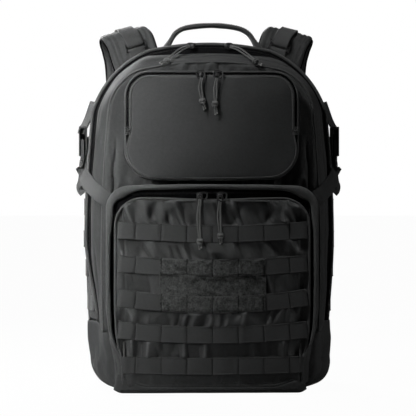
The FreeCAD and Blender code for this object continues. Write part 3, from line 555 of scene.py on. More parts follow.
def woven(
    name,
    colour,
    warp,
    weft,
    relief,
    roughness,
    sheen,
    mapping="face",
    amount=0.2,
    rubbing_and_painted_light=0.3,
    grain=1.0,
    specular=0.5,
):
    shader = Shader(name)
    place = shader.place(mapping)
    threads = shader.weave(place, warp, weft)
    # Edges painted lighter (rubbing and painted highlight) and folds painted darker (painted shade).
    tint = shader.edge_wear_and_painted_light(shader.mottled(colour, amount), rubbing_and_painted_light)
    tint = shader.times(tint, shader.levels(threads, 0.72, 1.12))
    slubs = shader.specks(520.0, 3.0, Roughness=0.6)
    rise = shader.math(
        "ADD", shader.math("MULTIPLY", threads, relief), shader.math("MULTIPLY", slubs, 0.5 * grain)
    )
    shader.bump(rise, 1.0)
    return shader.finish(tint, roughness, sheen, specular=specular)


def pile(name, colour):
    """Loop fastener: a nap of tiny curls."""
    shader = Shader(name)
    where = shader.node("ShaderNodeTexCoord").outputs["Object"]
    curls = shader.node("ShaderNodeTexVoronoi", {"Vector": where, "Scale": 900.0}).outputs["Distance"]
    shader.bump(shader.math("ADD", curls, shader.specks(420.0, 4.0, where)), 0.8)
    return shader.finish(shader.mottled(colour, 0.8, (170.0, 420.0)), 0.92, 0.15, specular=0.15)


def spacer(name, colour):
    """Three-dimensional mesh: round holes in a knitted face."""
    shader = Shader(name)
    place = shader.place("face")
    holes = shader.node(
        "ShaderNodeTexVoronoi", {"Vector": place, "Scale": 310.0, "Randomness": 0.25}
    ).outputs["Distance"]
    rim = shader.levels(holes, 0.0, 1.0, 0.2, 0.5)
    tint = shader.mottled(colour, 0.12)
    tint = shader.times(tint, shader.levels(rim, 0.3, 1.1))
    shader.bump(rim, 1.4)
    return shader.finish(tint, 0.8, 0.3, specular=0.3)


def braided(name, colour, sheen=0.3):
    """A sheath of slanting strands."""
    shader = Shader(name)
    axes = shader.node("ShaderNodeSeparateXYZ", {0: shader.place("grid")}).outputs
    slant = shader.math("ADD", axes[0], shader.math("MULTIPLY", axes[1], 0.8))
    other = shader.math("SUBTRACT", axes[0], shader.math("MULTIPLY", axes[1], 0.8))
    _, first = shader.ribs(slant, 0.9)
    _, second = shader.ribs(other, 0.9)
    shader.bump(shader.math("MAXIMUM", first, second), 0.25)
    # Lighter edges and darker hollows: rubbing, painted highlight and painted shade.
    return shader.finish(shader.edge_wear_and_painted_light(shader.mottled(colour, 0.18, (40.0, 900.0)), 0.3), 0.6, sheen)


def moulded(name, colour, roughness):
    """Plastic with a fine spark-eroded texture."""
    shader = Shader(name)
    shader.bump(shader.specks(1600.0, 3.0), 0.12)
    # Lighter edges and darker hollows: rubbing, painted highlight and painted shade.
    return shader.finish(shader.edge_wear_and_painted_light(shader.mottled(colour, 0.1, (30.0, 700.0)), 0.5), roughness)


def coated_metal(name, colour):
    """Painted zip hardware, rubbed bright on its corners, with a painted highlight on its edges and painted
    shade in its hollows.
    """
    shader = Shader(name)
    shader.bump(shader.specks(800.0, 5.0), 0.06)
    return shader.finish(shader.edge_wear_and_painted_light(shader.mottled(colour, 0.2, (90.0, 900.0)), 0.9), 0.38, metallic=0.45)


# The edge setting of each cloth sets its lighter edges (rubbing and painted highlight) and darker folds
# (painted shade).
CLOTH = woven("pack_nylon", (0.043, 0.045, 0.045), 0.75, 0.62, 0.16, 0.56, 0.12, amount=0.3, rubbing_and_painted_light=0.45)
CLOTH_SMOOTH = woven("pocket_nylon", (0.044, 0.046, 0.046), 0.6, 0.55, 0.08, 0.5, 0.1, amount=0.2, grain=0.55)
CLOTH_SLACK = woven(
    "cover_nylon", (0.04, 0.042, 0.042), 0.75, 0.62, 0.12, 0.44, 0.12, amount=0.25, rubbing_and_painted_light=0.55, specular=0.7
)
CLOTH_RIM = woven("rim_nylon", (0.075, 0.078, 0.077), 0.75, 0.62, 0.14, 0.55, 0.15, amount=0.25)
CLOTH_BACK = woven("lining_nylon", (0.03, 0.031, 0.032), 0.6, 0.6, 0.08, 0.7, 0.1)
TAPE = woven(
    "webbing_nylon", (0.062, 0.064, 0.064), 1.5, 0.7, 0.3, 0.55, 0.18, mapping="grid", amount=0.14, grain=0.6
)
BINDING = woven("binding_nylon", (0.1, 0.103, 0.102), 0.9, 0.7, 0.15, 0.55, 0.2, mapping="grid", grain=0.5)
# Zip tape made near-black with little shine, painted as deep as the shade in the zip gaps: painted shade.
PAINTED_SHADE_TAPE = woven("painted_shade_tape", (0.004, 0.004, 0.0045), 0.7, 0.7, 0.1, 0.9, 0.0, specular=0.1)
LOOP = pile("loop_pile_nap", (0.085, 0.088, 0.086))
MESH = spacer("spacer_knit", (0.03, 0.031, 0.032))
CORD = braided("pull_cord_sheath", (0.2, 0.205, 0.2))
# Much lighter than the cord: a painted highlight on the tips of the tails.
CORD_END_PAINTED_HIGHLIGHT = braided("pull_cord_end_painted_highlight", (0.5, 0.5, 0.49))
THREAD = braided("thread", (0.004, 0.0042, 0.0042), sheen=0.0)
THREAD_LIGHT = braided("thread_light", (0.09, 0.092, 0.09))
PLASTIC = moulded("buckle_acetal", (0.02, 0.0205, 0.021), 0.42)
SHEET = moulded("frame_polyethylene", (0.016, 0.016, 0.017), 0.55)
COIL = moulded("zip_coil_nylon", (0.012, 0.012, 0.013), 0.4)
METAL = coated_metal("zip_slider_metal", (0.34, 0.345, 0.35))

# ---- Rear half of the shell


def arch_run(line):
    """Distance along an outline from its first point."""
    return np.concatenate([[0], np.cumsum(np.linalg.norm(np.diff(line, axis=0), axis=1))])


def edge_roll(share, reach, depth):
    """How far cloth dips as it turns into the seams at both ends of a strip (share from 0 to 1)."""
    near = np.minimum(share, 1 - share)
    return -depth * (1 - smooth(near / reach)) ** 2


def make_rear_gusset():
    depths = np.linspace(BACK - 1, ZIP + 4, 30)
    share = np.linspace(0, 1, len(depths))
    lines = [zip_arch(2.5, 101, drawn) for drawn in share]
    grid = depth_grid(lines, depths)
    run = arch_run(lines[0])[None, :]
    tuck = edge_roll(share, 0.08, 2.5)[:, None]
    swell = 0.8 * np.sin(math.pi * share)[:, None]
    waves = 0.9 * noise(run / 60, share[:, None] * 2.2, 3) + 0.7 * noise(run / 22, share[:, None] * 5, 4)
    grid = pushed(grid, swell + tuck + waves * np.sin(math.pi * share)[:, None], from_middle)
    Piece().grid(grid, out=from_middle).make(
        "rear_gusset_cloth", CLOTH, "root", "pack_nylon", ("rear_gusset",), thickness=1.4, level=1
    )


def gathered(points):
    """The points with the shell's slack lower left corner drawn in towards the middle."""
    amount = 9 * smooth((95 - points[..., 2]) / 90) * smooth((-points[..., 0] - 60) / 60)
    amount = amount * smooth((points[..., 1] - FRONT - 20) / 60)
    return points + amount[..., None] * (1, 0, 0)


def closed_outline(inset, drawn_in):
    """The shell's whole outline with the round bottom corners of the boot."""
    upper = zip_arch(inset, 60, drawn_in)
    foot = upper[-1]
    corner = arc(tuple(foot), (foot[0] - 8, 16 + inset), (150, 2 + inset), 14)
    base = np.array([(150, 2 + inset), (75, 1 + inset), (0, 1 + inset)])
    right = np.vstack([corner, base])
    return np.vstack([upper[:-1], right, (right[:-1] * (-1, 1))[::-1]])[:-1]


def make_back_panel():
    outline = resampled(closed_outline(2.5, 0.0), 180, closed=True)
    shares = np.concatenate([[1, 0.992, 0.975], np.linspace(0.95, 0.04, 26)])
    depths = BACK - 3 + 3 * smooth((1 - shares) / 0.04)
    grid = gathered(depth_grid([toward((0, MIDDLE_HEIGHT), outline, share) for share in shares], depths))
    grid[..., 1] += 0.8 * noise(grid[..., 0] / 45, grid[..., 2] / 45, 8)
    Piece().grid(grid, around=True, caps="last", out=(0, 1, 0)).make(
        "back_panel_cloth", MESH, "root", "spacer_mesh", ("back_panel",), thickness=1.6
    )
    path = gathered(raised(outline, BACK - 1.0))
    Piece().tube(path, ring(2.8, 10), (0, 1, 0), closed=True).make(
        "back_binding", BINDING, "root", "pack_nylon"
    )


def make_piping():
    line = zip_arch(2.0, 99)
    path = raised(line, ZIP + 2.0)
    seam_path = raised(zip_arch(2.6, 100), ZIP + 7.5)
    Piece().tube(path, ring(2.5, 10), (0, 1, 0)).make(
        "rear_zip_piping", BINDING, "root", "pack_nylon", ("rear_piping",)
    )
    Piece().seam(pushed_line(seam_path, 0.3), from_middle).make("rear_gusset_stitching", THREAD, "root")


def pushed_line(line, distance):
    """A line of points moved outward from the pack's upright axis."""
    return line + unit(from_middle(line)) * distance


def coil(piece, line, y, pitch=1.9):
    """Zip teeth: small beads across the zip along a front-view line."""
    count = int(arch_run(line)[-1] / pitch)
    line = resampled(line, count)
    along = np.gradient(line, axis=0)
    for (x, z), (dx, dz) in zip(line, along):
        piece.bead((x, y, z), (dz, 0, -dx), (0, 1, 0), 4.6, 1.5, 2.2)
    return piece


def zip_sag(line):
    """The open gap of the main zip is wider over the crown."""
    return 7.0 * smooth((118 - np.abs(line[:, 0])) / 80) * smooth((line[:, 1] - 400) / 60)


def make_main_zip():
    base = arch(ZIP_KEYS, 100)
    outer = zip_arch(4.0, 100)
    inner = zip_arch(11.0 + zip_sag(base), 100)
    middle = zip_arch(9.5, 100)
    # The zip strips use the near-black tape that paints the shade in the zip gap.
    rear = depth_grid([outer, (outer + middle) / 2, middle], [ZIP + 0.5, ZIP + 1.5, ZIP + 1.5])
    Piece().grid(rear, out=(0, -1, 0)).make(
        "main_zip_rear_strip", PAINTED_SHADE_TAPE, "root", "zip_coil", ("main_zip_rear_tape",), thickness=0.8
    )
    coil(Piece(), zip_arch(8.2, 100), ZIP - 0.5).make("main_zip_rear_coil", COIL, "root", "zip_coil")
    front = depth_grid([middle, inner, offset(inner, -6.0)], [DOOR_ZIP + 1.5, DOOR_ZIP + 1, DOOR_ZIP - 0.5])
    Piece().grid(front, out=(0, -1, 0)).make(
        "main_zip_front_strip", PAINTED_SHADE_TAPE, "front_door", "zip_coil", ("main_zip_front_tape",), thickness=0.8
    )


# ---- The boot: lower sides, corners and floor

BOOT_REAR_TOP = 101.0
BOOT_FRONT_TOP = 86.0


def boot_line(share):
    """The boot's section from its left top edge, under the floor, to its right top edge."""
    top = BOOT_REAR_TOP + (BOOT_FRONT_TOP - BOOT_REAR_TOP) * smooth(share * 1.6 - 0.5)
    rear_half = 189.5 - 15 * smooth(share * 1.8)
    half_top = rear_half * (1 - share) + 163 * share
    half_low = (186 - 9 * smooth(share * 1.8)) * (1 - share) + 158 * share
    corner = (178 * (1 - share) + 150 * share, 12)
    base = (150 * (1 - share) + 129 * share, 1.2)
    flat = resampled([(0, 1.2), base], 14)[:-1]
    upright = resampled([(half_low, 45), (half_top, top)], 12)
    right = np.vstack([flat, arc(base, corner, (half_low, 45), 16), upright])
    return np.vstack([(right * (-1, 1))[::-1], right[1:]])


def make_boot():
    depths = np.concatenate([np.linspace(BACK - 1, ZIP, 12)[:-1], np.linspace(ZIP, FRONT, 16)])
    share = np.clip((ZIP - depths) / (ZIP - FRONT), 0, 1)
    lines = [boot_line(value) for value in share]
    grid = depth_grid(lines, depths)
    fold_in = depth_grid(
        [offset(lines[-1], distance) for distance in (2.5, 8, 17)], [FRONT - 2.5, FRONT - 3.5, FRONT - 3]
    )
    grid = np.concatenate([grid, fold_in])
    depth_share = np.linspace(0, 1, len(grid))[:, None]
    run = arch_run(lines[0])[None, :]
    height = grid[..., 2]
    loose = smooth((height - 8) / 25)
    waves = 1.6 * noise(run / 34, depth_share * 5, 11) + 0.8 * noise(run / 14, depth_share * 9, 12)
    crumple = 3.0 * creases(depth_share * 6 + 0.4 * run / 60, run / 70, 13) * smooth((90 - height) / 50)
    swell = 2.5 * np.sin(math.pi * np.clip(height / 100, 0, 1))
    deep = 4.5 * creases(depth_share * 3.2 + 0.9 * height / 80, run / 300, 14) * smooth(
        (84 - height) / 40
    ) * smooth((height - 4) / 20)
    grid = gathered(pushed(grid, (waves + crumple - 1.5) * loose - deep + swell, boot_out))
    Piece().grid(grid, out=boot_out).make(
        "boot_cloth", CLOTH, "root", "pack_nylon", ("base_boot",), thickness=1.8, level=1
    )
    rear_edge = grid[0]
    inward = -unit(boot_out(rear_edge))
    allowance = np.stack(
        [rear_edge + inward * reach - (0, step, 0) for reach, step in ((0.3, 0.5), (7, 3.0), (14, 3.5))]
    )
    Piece().grid(allowance, out=(0, -1, 0)).make(
        "boot_seam_allowance", CLOTH, "root", "pack_nylon", thickness=1.0
    )
    piece = Piece()
    for drop in (2.5, 7.0):
        for side in (-1, 1):
            rear = [
                (side * (190.6 - 0.02 * y), y, BOOT_REAR_TOP - drop)
                for y in np.linspace(BACK - 3, ZIP + 40, 10)
            ]
            piece.seam(rear, (side, 0, 0))
    piece.make("boot_rear_stitching", THREAD, "root")
    floor = [
        [(x, y, 1.0) for x in np.linspace(-half, half, 24)]
        for half, y in ((150, 98), (150, ZIP), (129, FRONT), (128, ORGANIZER + 2))
    ]
    Piece().grid(gathered(np.array(floor)), out=(0, 0, -1)).make(
        "floor_cloth", CLOTH, "root", "pack_nylon", thickness=0.9
    )


# ---- Front half of the shell: the door


def door_low(share):
    """The door's lower edge, tucked a little behind the top of the boot."""
    return BOOT_REAR_TOP - 3 + (BOOT_FRONT_TOP - BOOT_REAR_TOP) * smooth(share)


def make_front_gusset():
    share = np.linspace(0, 1, 22)
    sag = zip_sag(arch(ZIP_KEYS, 100))
    lines = []
    for value in share:
        low = door_low(value)
        at_zip = zip_arch(10.5 + sag, low)
        at_front = arch(FRONT_KEYS, low)
        lines.append(at_zip * (1 - value) + at_front * value)
    depths = DOOR_ZIP - 1 + (FRONT + 1 - DOOR_ZIP + 1) * share
    grid = depth_grid(lines, depths)
    run = arch_run(lines[0])[None, :]
    column = share[:, None]
    swell = 4.2 * np.sin(math.pi * column) ** 1.4 + edge_roll(column, 0.12, 3.2)
    upright = smooth((grid[..., 2] - 120) / 60)
    waves = 2.0 * noise(run / 75, column * 2.4, 21) + 1.3 * noise(run / 26, column * 4, 22)
    waves -= 3.2 * bell((column - 0.62 - 0.1 * noise(run / 50, 0, 24)) / 0.05) * smooth(
        noise(run / 85, 3, 25) + 0.5
    )
    pucker = 0.9 * noise(run / 9, column * 1.5, 23) * smooth((column - 0.55) / 0.4)
    swell = swell - 3.5 * (1 - smooth((grid[..., 2] - grid[:, :1, 2]) / 9))
    grid = pushed(
        grid, swell + (waves + pucker) * np.sin(math.pi * column) ** 0.6 * (0.5 + 0.5 * upright), from_middle
    )
    Piece().grid(grid, out=from_middle).make(
        "front_gusset_cloth", CLOTH, "front_door", "pack_nylon", ("front_gusset",), thickness=1.4, level=1
    )
    piece = Piece()
    for value, rise in ((0.1, 0.5), (0.16, 0.9)):
        row = int(value * (len(share) - 1) + 0.5)
        piece.seam(pushed_line(grid[row], rise), from_middle)
    piece.make("front_gusset_stitching", THREAD, "front_door")


def panel_rows(line, heights):
    """Half widths of an arch at given heights."""
    right = line[len(line) // 2 :]
    order = np.argsort(right[:, 1])
    return np.interp(heights, right[order, 1], right[order, 0])


def front_panel_depth(x, z):
    """Depth of the front panel's cloth: puckered over the upper pocket, creased beside it."""
    above = smooth((z - UPPER_TOP + 6) / 6)
    gather = 3.4 * noise(x / 11, z / 26, 31) + 1.2 * noise(x / 6 + 5, z / 16, 36)
    pucker = gather * above * (0.35 + 0.65 * smooth((100 - np.abs(x - 20)) / 30))
    beside = smooth((np.abs(x) - UPPER_HALF + 4) / 8) * (1 - above)
    soft = 1.4 * noise(x / 20, z / 60, 32) * beside
    crease_x = 148 - 3.0 * smooth((z - 320) / 60) + 0.8 * noise(z / 24, 0, 34)
    crease = bell((np.abs(x) - crease_x) / 1.7) * smooth((z - 262) / 10) * smooth((388 - z) / 40)
    hill = 4.5 * bell((np.abs(x) - 137) / 12) * smooth((z - 290) / 30) * smooth((400 - z) / 60)
    hill += 2.2 * bell((np.abs(x) - 156) / 4) * smooth((z - 262) / 30) * smooth((410 - z) / 60)
    between = smooth((z - LIP_TOP + 4) / 6) * smooth((UPPER_LOW + 8 - z) / 10)
    ripples = (creases(x / 13 + 0.3, z / 60, 33) - 0.3) * 4.6 * between
    return FRONT - 1.5 - pucker - soft + 7.5 * crease - hill - ripples


def make_front_panel():
    outline = arch(FRONT_KEYS, BOOT_FRONT_TOP + 2)
    inner = offset(outline, -0.6)
    low = np.column_stack([np.linspace(inner[-1, 0], inner[0, 0], 60), np.full(60, inner[0, 1])])
    closed = resampled(np.vstack([inner[:-1], low[:-1]]), 620, closed=True)
    shares = np.concatenate([[1, 0.994, 0.985, 0.975], np.linspace(0.962, 0.30, 48)])
    face = rounded_grid(closed, (0, 300), shares, front_panel_depth, 3.6, 0.022)
    Piece().grid(face, around=True, out=(0, -1, 0)).make(
        "front_panel_cloth", CLOTH, "front_door", "pack_nylon", thickness=1.4
    )
    piece = Piece().tube(raised(offset(outline, -0.6), FRONT - 1.4), ring(1.7, 8), (0, 1, 0))
    piece.make("front_panel_piping", BINDING, "front_door", "pack_nylon")
    seams = Piece().seam(
        raised(offset(outline, -8.5), lambda x, z: front_panel_depth(x, z) - 0.3), (0, -1, 0)
    )
    seams.make("front_panel_stitching", THREAD, "front_door")
    rows = []
    for z in np.linspace(14, 420, 60):
        half = float(np.interp(z, [12, 45, 98, 225, 420], [125, 150, 158, 162, 150]))
        x = np.linspace(-half, half, 50)
        rows.append(np.column_stack([x, FRONT + 3.2 + 0.5 * noise(x / 40, z / 40, 35), np.full(50, z)]))
    Piece().grid(np.stack(rows), out=(0, 1, 0)).make(
        "door_lining", CLOTH_BACK, "front_door", "pack_nylon", ("front_panel",), thickness=1.0
    )


# ---- Upper pocket


def upper_depth(x, z):
    """Depth of the upper pocket's smooth face."""
    height = np.clip((z - UPPER_LOW) / (UPPER_TOP - UPPER_LOW), 0, 1)
    across = np.clip(np.abs(x) / UPPER_HALF, 0, 1)
    swell = 6.5 * (1 - across**3.2) * np.sin(math.pi * height) ** 0.55
    soft = 0.9 * noise(x / 52, z / 44, 41) + 0.35 * noise(x / 17, z / 26, 42)
    return UPPER - 0.5 - swell - soft * smooth((1 - across) / 0.2)


def make_upper_pocket():
    outline = resampled(rounded(UPPER_HALF, UPPER_LOW, UPPER_TOP, 36, 42), 300, closed=True)
    outline[:, 1] -= 3.0 * (1 - (outline[:, 0] / UPPER_HALF) ** 2) * smooth(
        (UPPER_LOW + 30 - outline[:, 1]) / 30
    )
    wall_share = np.linspace(0, 1, 12)
    lines = [offset(outline, 1.2 * math.sin(math.pi * value) - 0.4, closed=True) for value in wall_share]
    grid = depth_grid(lines, FRONT - 1 + (UPPER + 2 - FRONT) * wall_share)
    wall_wave = noise(arch_run(outline)[None, :] / 16, wall_share[:, None] * 3, 43)
    grid = pushed(grid, 1.1 * wall_wave * np.sin(math.pi * wall_share)[:, None], upper_out)
    Piece().grid(grid, around=True, out=upper_out).make(
        "upper_pocket_gusset", CLOTH, "front_door", "pack_nylon", ("upper_pocket_wall",), thickness=1.2
    )
    face_line = offset(outline, -7.5, closed=True)
    blend_low = smooth((FLAP_FOLD + 4 - outline[:, 1]) / 30)[:, None]
    low_line = offset(outline, -2.2, closed=True)
    face_line = face_line * (1 - blend_low) + low_line * blend_low
    shares = np.concatenate([[1, 0.994, 0.986, 0.976], np.linspace(0.96, 0.04, 34)])
    face = rounded_grid(face_line, (0, 400), shares, upper_depth, 2.2, 0.02)
    item = Piece().grid(face, around=True, caps="last", out=(0, -1, 0)).make(
        "upper_pocket_face", CLOTH_SMOOTH, None, "pack_nylon", (
            "upper_flap", "upper_pocket_front"
        ), thickness=1.4
    )
    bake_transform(item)
    rim = raised(offset(outline, 0.2, closed=True), UPPER + 1.6)
    Piece().tube(rim, ring(1.5), (0, 1, 0), closed=True).make(
        "upper_rim_piping", BINDING, "front_door", "pack_nylon"
    )
    edge_line = raised(face_line, UPPER - 1.2)
    upper_part = edge_line[edge_line[:, 2] > FLAP_FOLD + 1]
    order = np.argsort(np.arctan2(upper_part[:, 2] - FLAP_FOLD, -upper_part[:, 0]))
    Piece().tube(upper_part[order], ring(2.6, 10), (0, 1, 0)).make(
        "upper_flap_piping", BINDING, "upper_flap", "pack_nylon"
    )
    lower_part = edge_line[edge_line[:, 2] <= FLAP_FOLD + 1]
    order = np.argsort(np.arctan2(lower_part[:, 2] - FLAP_FOLD - 2, -lower_part[:, 0]))
    Piece().tube(lower_part[order][::-1], ring(1.7, 10), (0, 1, 0)).make(
        "upper_lower_piping", BINDING, "front_door", "pack_nylon"
    )
    zip_part = resampled(offset(outline, -4.2, closed=True), 300, closed=True)
    zip_part = zip_part[zip_part[:, 1] > FLAP_FOLD]
    order = np.argsort(np.arctan2(zip_part[:, 1] - FLAP_FOLD, -zip_part[:, 0]))
    zip_line = zip_part[order]
    # The zip strip uses the near-black tape that paints the shade in the zip gap.
    strip = depth_grid(
        [offset(zip_line, 3.4), zip_line, offset(zip_line, -4.5)], [UPPER + 3, UPPER + 2.4, UPPER + 3]
    )
    Piece().grid(strip, out=(0, -1, 0)).make(
        "upper_zip_strip", PAINTED_SHADE_TAPE, "front_door", "zip_coil", thickness=0.8
    )
    coil(Piece(), zip_line, UPPER + 1.6).make("upper_zip_coil", COIL, "front_door", "zip_coil")
    ends = Piece()
    for side in (-1, 1):
        for step in range(5):
            z = FLAP_FOLD - 3 + step * 2.6
            ends.bead((side * (UPPER_HALF - 3.5), UPPER - 2.8, z), (1, 0, 0.12), (0, -1, 0), 12.0, 2.0, 1.8)
    ends.make("upper_zip_bar_tacks", THREAD_LIGHT, "front_door")


# ---- Organizer pocket

ROWS = ((236.5, 6), (186.0, 7), (131.5, 11), (86.5, 8))  # middle height and rise to the ends
LOWER_ROW = (40.0, 3)
ROW_HALF = 140.0
LOWER_HALF = 134.0
LOOP_HALF = 2 * TACK_PITCH + 2


def cover_swell(x, z):
    across = 1 - np.clip(np.abs(x) / 152, 0, 1) ** 4
    return 4.5 * across * np.sin(math.pi * np.clip((z + 6) / 305, 0, 1)) ** 0.8


def row_height(x, row, half=ROW_HALF):
    middle, rise = row
    return middle + rise * (np.abs(x) / half) ** 2


def cover_depth(x, z):
    """Depth of the organizer's cloth, gathered into upright folds between the webbing rows."""
    total = np.zeros(np.broadcast(x, z).shape)
    lines = [row_height(x, row) for row in ROWS] + [row_height(x, LOWER_ROW, LOWER_HALF)]
    strength = (12.5, 11.0, 9.5, 11.0, 11.0, 3.0)
    leans = (0.35, 0.45, 0.2, -0.15, 0.1, 0.0)
    for gap in range(6):
        high = lines[gap - 1] - WEBBING / 2 if gap else COVER_TOP + 4
        low = lines[gap] + WEBBING / 2 if gap < 5 else np.full_like(high, 14.0)
        share = np.clip((z - low) / (high - low), -0.4, 1.4)
        inside = smooth((share + 0.3) / 0.35) * smooth((1.3 - share) / 0.35)
        low_weight = 0.6 + 0.4 * (1 - np.clip(share, 0, 1))
        slant = x + leans[gap] * (z - low)
        folds = creases(slant / 27 + 3 * gap, z / 80, 50 + 3 * gap) - 0.42
        fine = 0.22 * noise(slant / 9, z / 18, 52 + 3 * gap)
        total += strength[gap] * inside * low_weight * (folds + fine)
    for row in lines:
        under = smooth((WEBBING / 2 + 1.5 - np.abs(z - row)) / 3.5)
        total = np.where(total > 0, total * (1 - under), total)
    panel = (np.abs(x) < LOOP_HALF + 3) & (z < lines[1]) & (z > lines[2])
    total = np.where(panel, np.minimum(total, 0), total)
    calm = smooth((COVER_HALF - np.abs(x)) / 10) * smooth((COVER_TOP + 1 - z) / 5)
    return ORGANIZER - 1.0 - cover_swell(x, z) - total * calm


HOLLOWS = (
    (-92, 262, 7, 16, 5.5),
    (-66, 258, 6, 12, 4.5),
    (36, 262, 6, 14, 4.0),
    (84, 262, 6, 12, 4.0),
    (-104, 212, 8, 14, 4.0),
)


def cloth_depth(x, z):
    """The same, with the few deep hollows over the rows."""
    depth = cover_depth(x, z)
    for at_x, at_z, wide, tall, deep in HOLLOWS:
        depth = depth + deep * np.exp(
            -(((x - at_x - 0.3 * (z - at_z)) / wide) ** 2) - ((z - at_z) / tall) ** 2
        )
    return depth


def make_organizer_shell():
    low = 13
    share = np.linspace(0, 1, 14)
    lines = [
        organizer_arch(2.5 * (1 - value) ** 2 - 0.5 * math.sin(math.pi * value), low, 10 + 13 * value**2)
        for value in share
    ]
    grid = depth_grid(lines, FRONT - 1 + (ORGANIZER + 9 - FRONT) * share)
    run = arch_run(lines[0])[None, :]
    waves = 1.8 * noise(run / 26, share[:, None] * 3, 61) * np.sin(math.pi * share)[:, None]
    waves = waves - 4.5 * creases(run / 90 + share[:, None] * 1.6, share[:, None] * 2, 64) * np.sin(
        math.pi * share
    )[:, None] * smooth((100 - grid[..., 2]) / 30)
    grid = pushed(grid, waves, from_organizer)
    Piece().grid(grid, out=from_organizer).make(
        "organizer_gusset", CLOTH, "front_door", "pack_nylon", ("organizer_wall",), thickness=1.3, level=1
    )
    outer = organizer_arch(0, low, 23)
    height = outer[:, 1]
    corner = bell((np.abs(outer[:, 0]) - 138) / 20) * smooth((height - 225) / 50)
    width = 4.8 + 9.5 * corner + 0.7 * noise(arch_run(outer) / 40, 0, 62)
    width = width * (0.35 + 0.65 * smooth((height - 60) / 60))
    lines, depths = [offset(outer, 0.3), offset(outer, 0.1)], [ORGANIZER + 9, ORGANIZER + 5]
    for turn in np.linspace(0.05, 1.0, 11) * math.pi:
        lines.append(offset(outer, -width * (1 - math.cos(turn)) / 2))
        depths.append(ORGANIZER + 1.6 - 3.6 * math.sin(turn) ** 0.8)
    lines.append(offset(outer, -width * 0.96))
    depths.append(ORGANIZER + 7)
    grid = depth_grid(lines, depths)
    ripple = 0.5 * noise(arch_run(outer)[None, :] / 14, np.arange(len(lines))[:, None] * 0.5, 63)
    grid[..., 1] += ripple
    Piece().grid(grid, out=(0, -1, 0)).make(
        "organizer_rim", CLOTH_RIM, "front_door", "pack_nylon", ("organizer_lip",), thickness=1.2, level=1
    )
    inner = offset(outer, -(width + 1.0))
    # A wide near-black strip inside the rim: painted shade for the deep gap between the rim and the cover.
    dark = depth_grid(
        [offset(inner, 1.5), offset(inner, -6), offset(inner, -15)],
        [ORGANIZER + 7, ORGANIZER + 6, ORGANIZER + 5],
    )
    Piece().grid(dark, out=(0, -1, 0)).make(
        "organizer_zip_shade_strip", PAINTED_SHADE_TAPE, "front_door", "zip_coil", thickness=0.8
    )
    line = organizer_arch(11.5, 74)
    coil(Piece(), line, ORGANIZER + 4.4).make("organizer_zip_coil", COIL, "front_door", "zip_coil")


def cover_arch(inset, low):
    """The cover's outline from its left foot over its top to its right foot."""
    feet = [(14, low), (13, 40), (10, 52), (4.5, 70), (1.5, 90), (0, 130)]
    line = resampled(pocket_arch(feet, COVER_HALF - inset, COVER_TOP - inset, 40 - inset), 301)
    line[:, 1] -= 2.6 * bell(line[:, 0] / 60) * smooth((line[:, 1] - 200) / 60)
    return line


def make_organizer_cloth():
    low = 12.0
    outline = cover_arch(0.5, low)
    heights = np.concatenate([np.linspace(low, 250, 150), np.linspace(251.5, COVER_TOP - 0.8, 28)])
    left = outline[: len(outline) // 2 + 1]
    half = np.interp(heights, left[:, 1], -left[:, 0])
    columns = np.linspace(-1, 1, 171)
    x = half[:, None] * columns[None, :]
    z = np.repeat(heights[:, None], len(columns), 1)
    widths = -left[::-1, 0]
    order = np.sort(widths)
    top = np.interp(np.abs(x), order, np.interp(order, widths, left[::-1, 1]))
    depth = cloth_depth(x, z)
    near = np.minimum((half[:, None] - np.abs(x)), top - z)
    depth = depth + 2.2 * (1 - smooth(near / 4.0)) ** 2
    grid = np.stack([x, depth, z], 2)
    item = Piece().grid(grid, out=(0, -1, 0)).make(
        "organizer_cloth", CLOTH_SLACK, None, "pack_nylon", (
            "organizer_cover", "organizer_lower_panel"
        ), thickness=1.4
    )
    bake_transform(item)
    edge_line = cover_arch(-0.2, 76)
    path = raised(edge_line, lambda x, z: ORGANIZER - 0.8 - 0.3 * cover_swell(x, z))
    piping = Piece().tube(path, ring(1.9, 10), (0, 1, 0)).make(
        "organizer_cover_piping", BINDING, None, "pack_nylon"
    )
    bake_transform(piping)


def webbing_depth(x, row, half):
    """Depth of the middle of a webbing row: pinned at its tacks and slack between them."""
    height = row_height(x, row, half)
    to_tack = np.abs((x / TACK_PITCH + 0.5) % 1 - 0.5) * TACK_PITCH
    slack = 1.7 * (1 - bell(to_tack / 1.0)) + 0.5 * np.sin(math.pi * to_tack / TACK_PITCH)
    waves = 0.9 * noise(x / 15, row[0] / 10, 71) * smooth(to_tack / 6)
    return ORGANIZER - 2.2 - cover_swell(x, height) - slack - waves


def webbing_grid(row, half, width=WEBBING, lift=0.0, thickness=1.5, x_range=None):
    low, high = x_range or (-half, half)
    tacks = TACK_PITCH * np.arange(-3, 4)[:, None] + np.array([-2.4, -1.2, -0.6, 0, 0.6, 1.2, 2.4])
    x = np.concatenate([np.linspace(low, high, int((high - low) / 1.6)), tacks.ravel()])
    x = np.unique(np.round(x[(x >= low) & (x <= high)], 2))
    centre = row_height(x, row, half)
    depth = webbing_depth(x, row, half) - lift
    end = smooth((np.abs(x) - half + 6) / 6) if x_range is None else 0
    path = np.column_stack([x, depth + 2.5 * end, centre])
    return sweep(path, strap_section(width, thickness), (0, -1, 0))


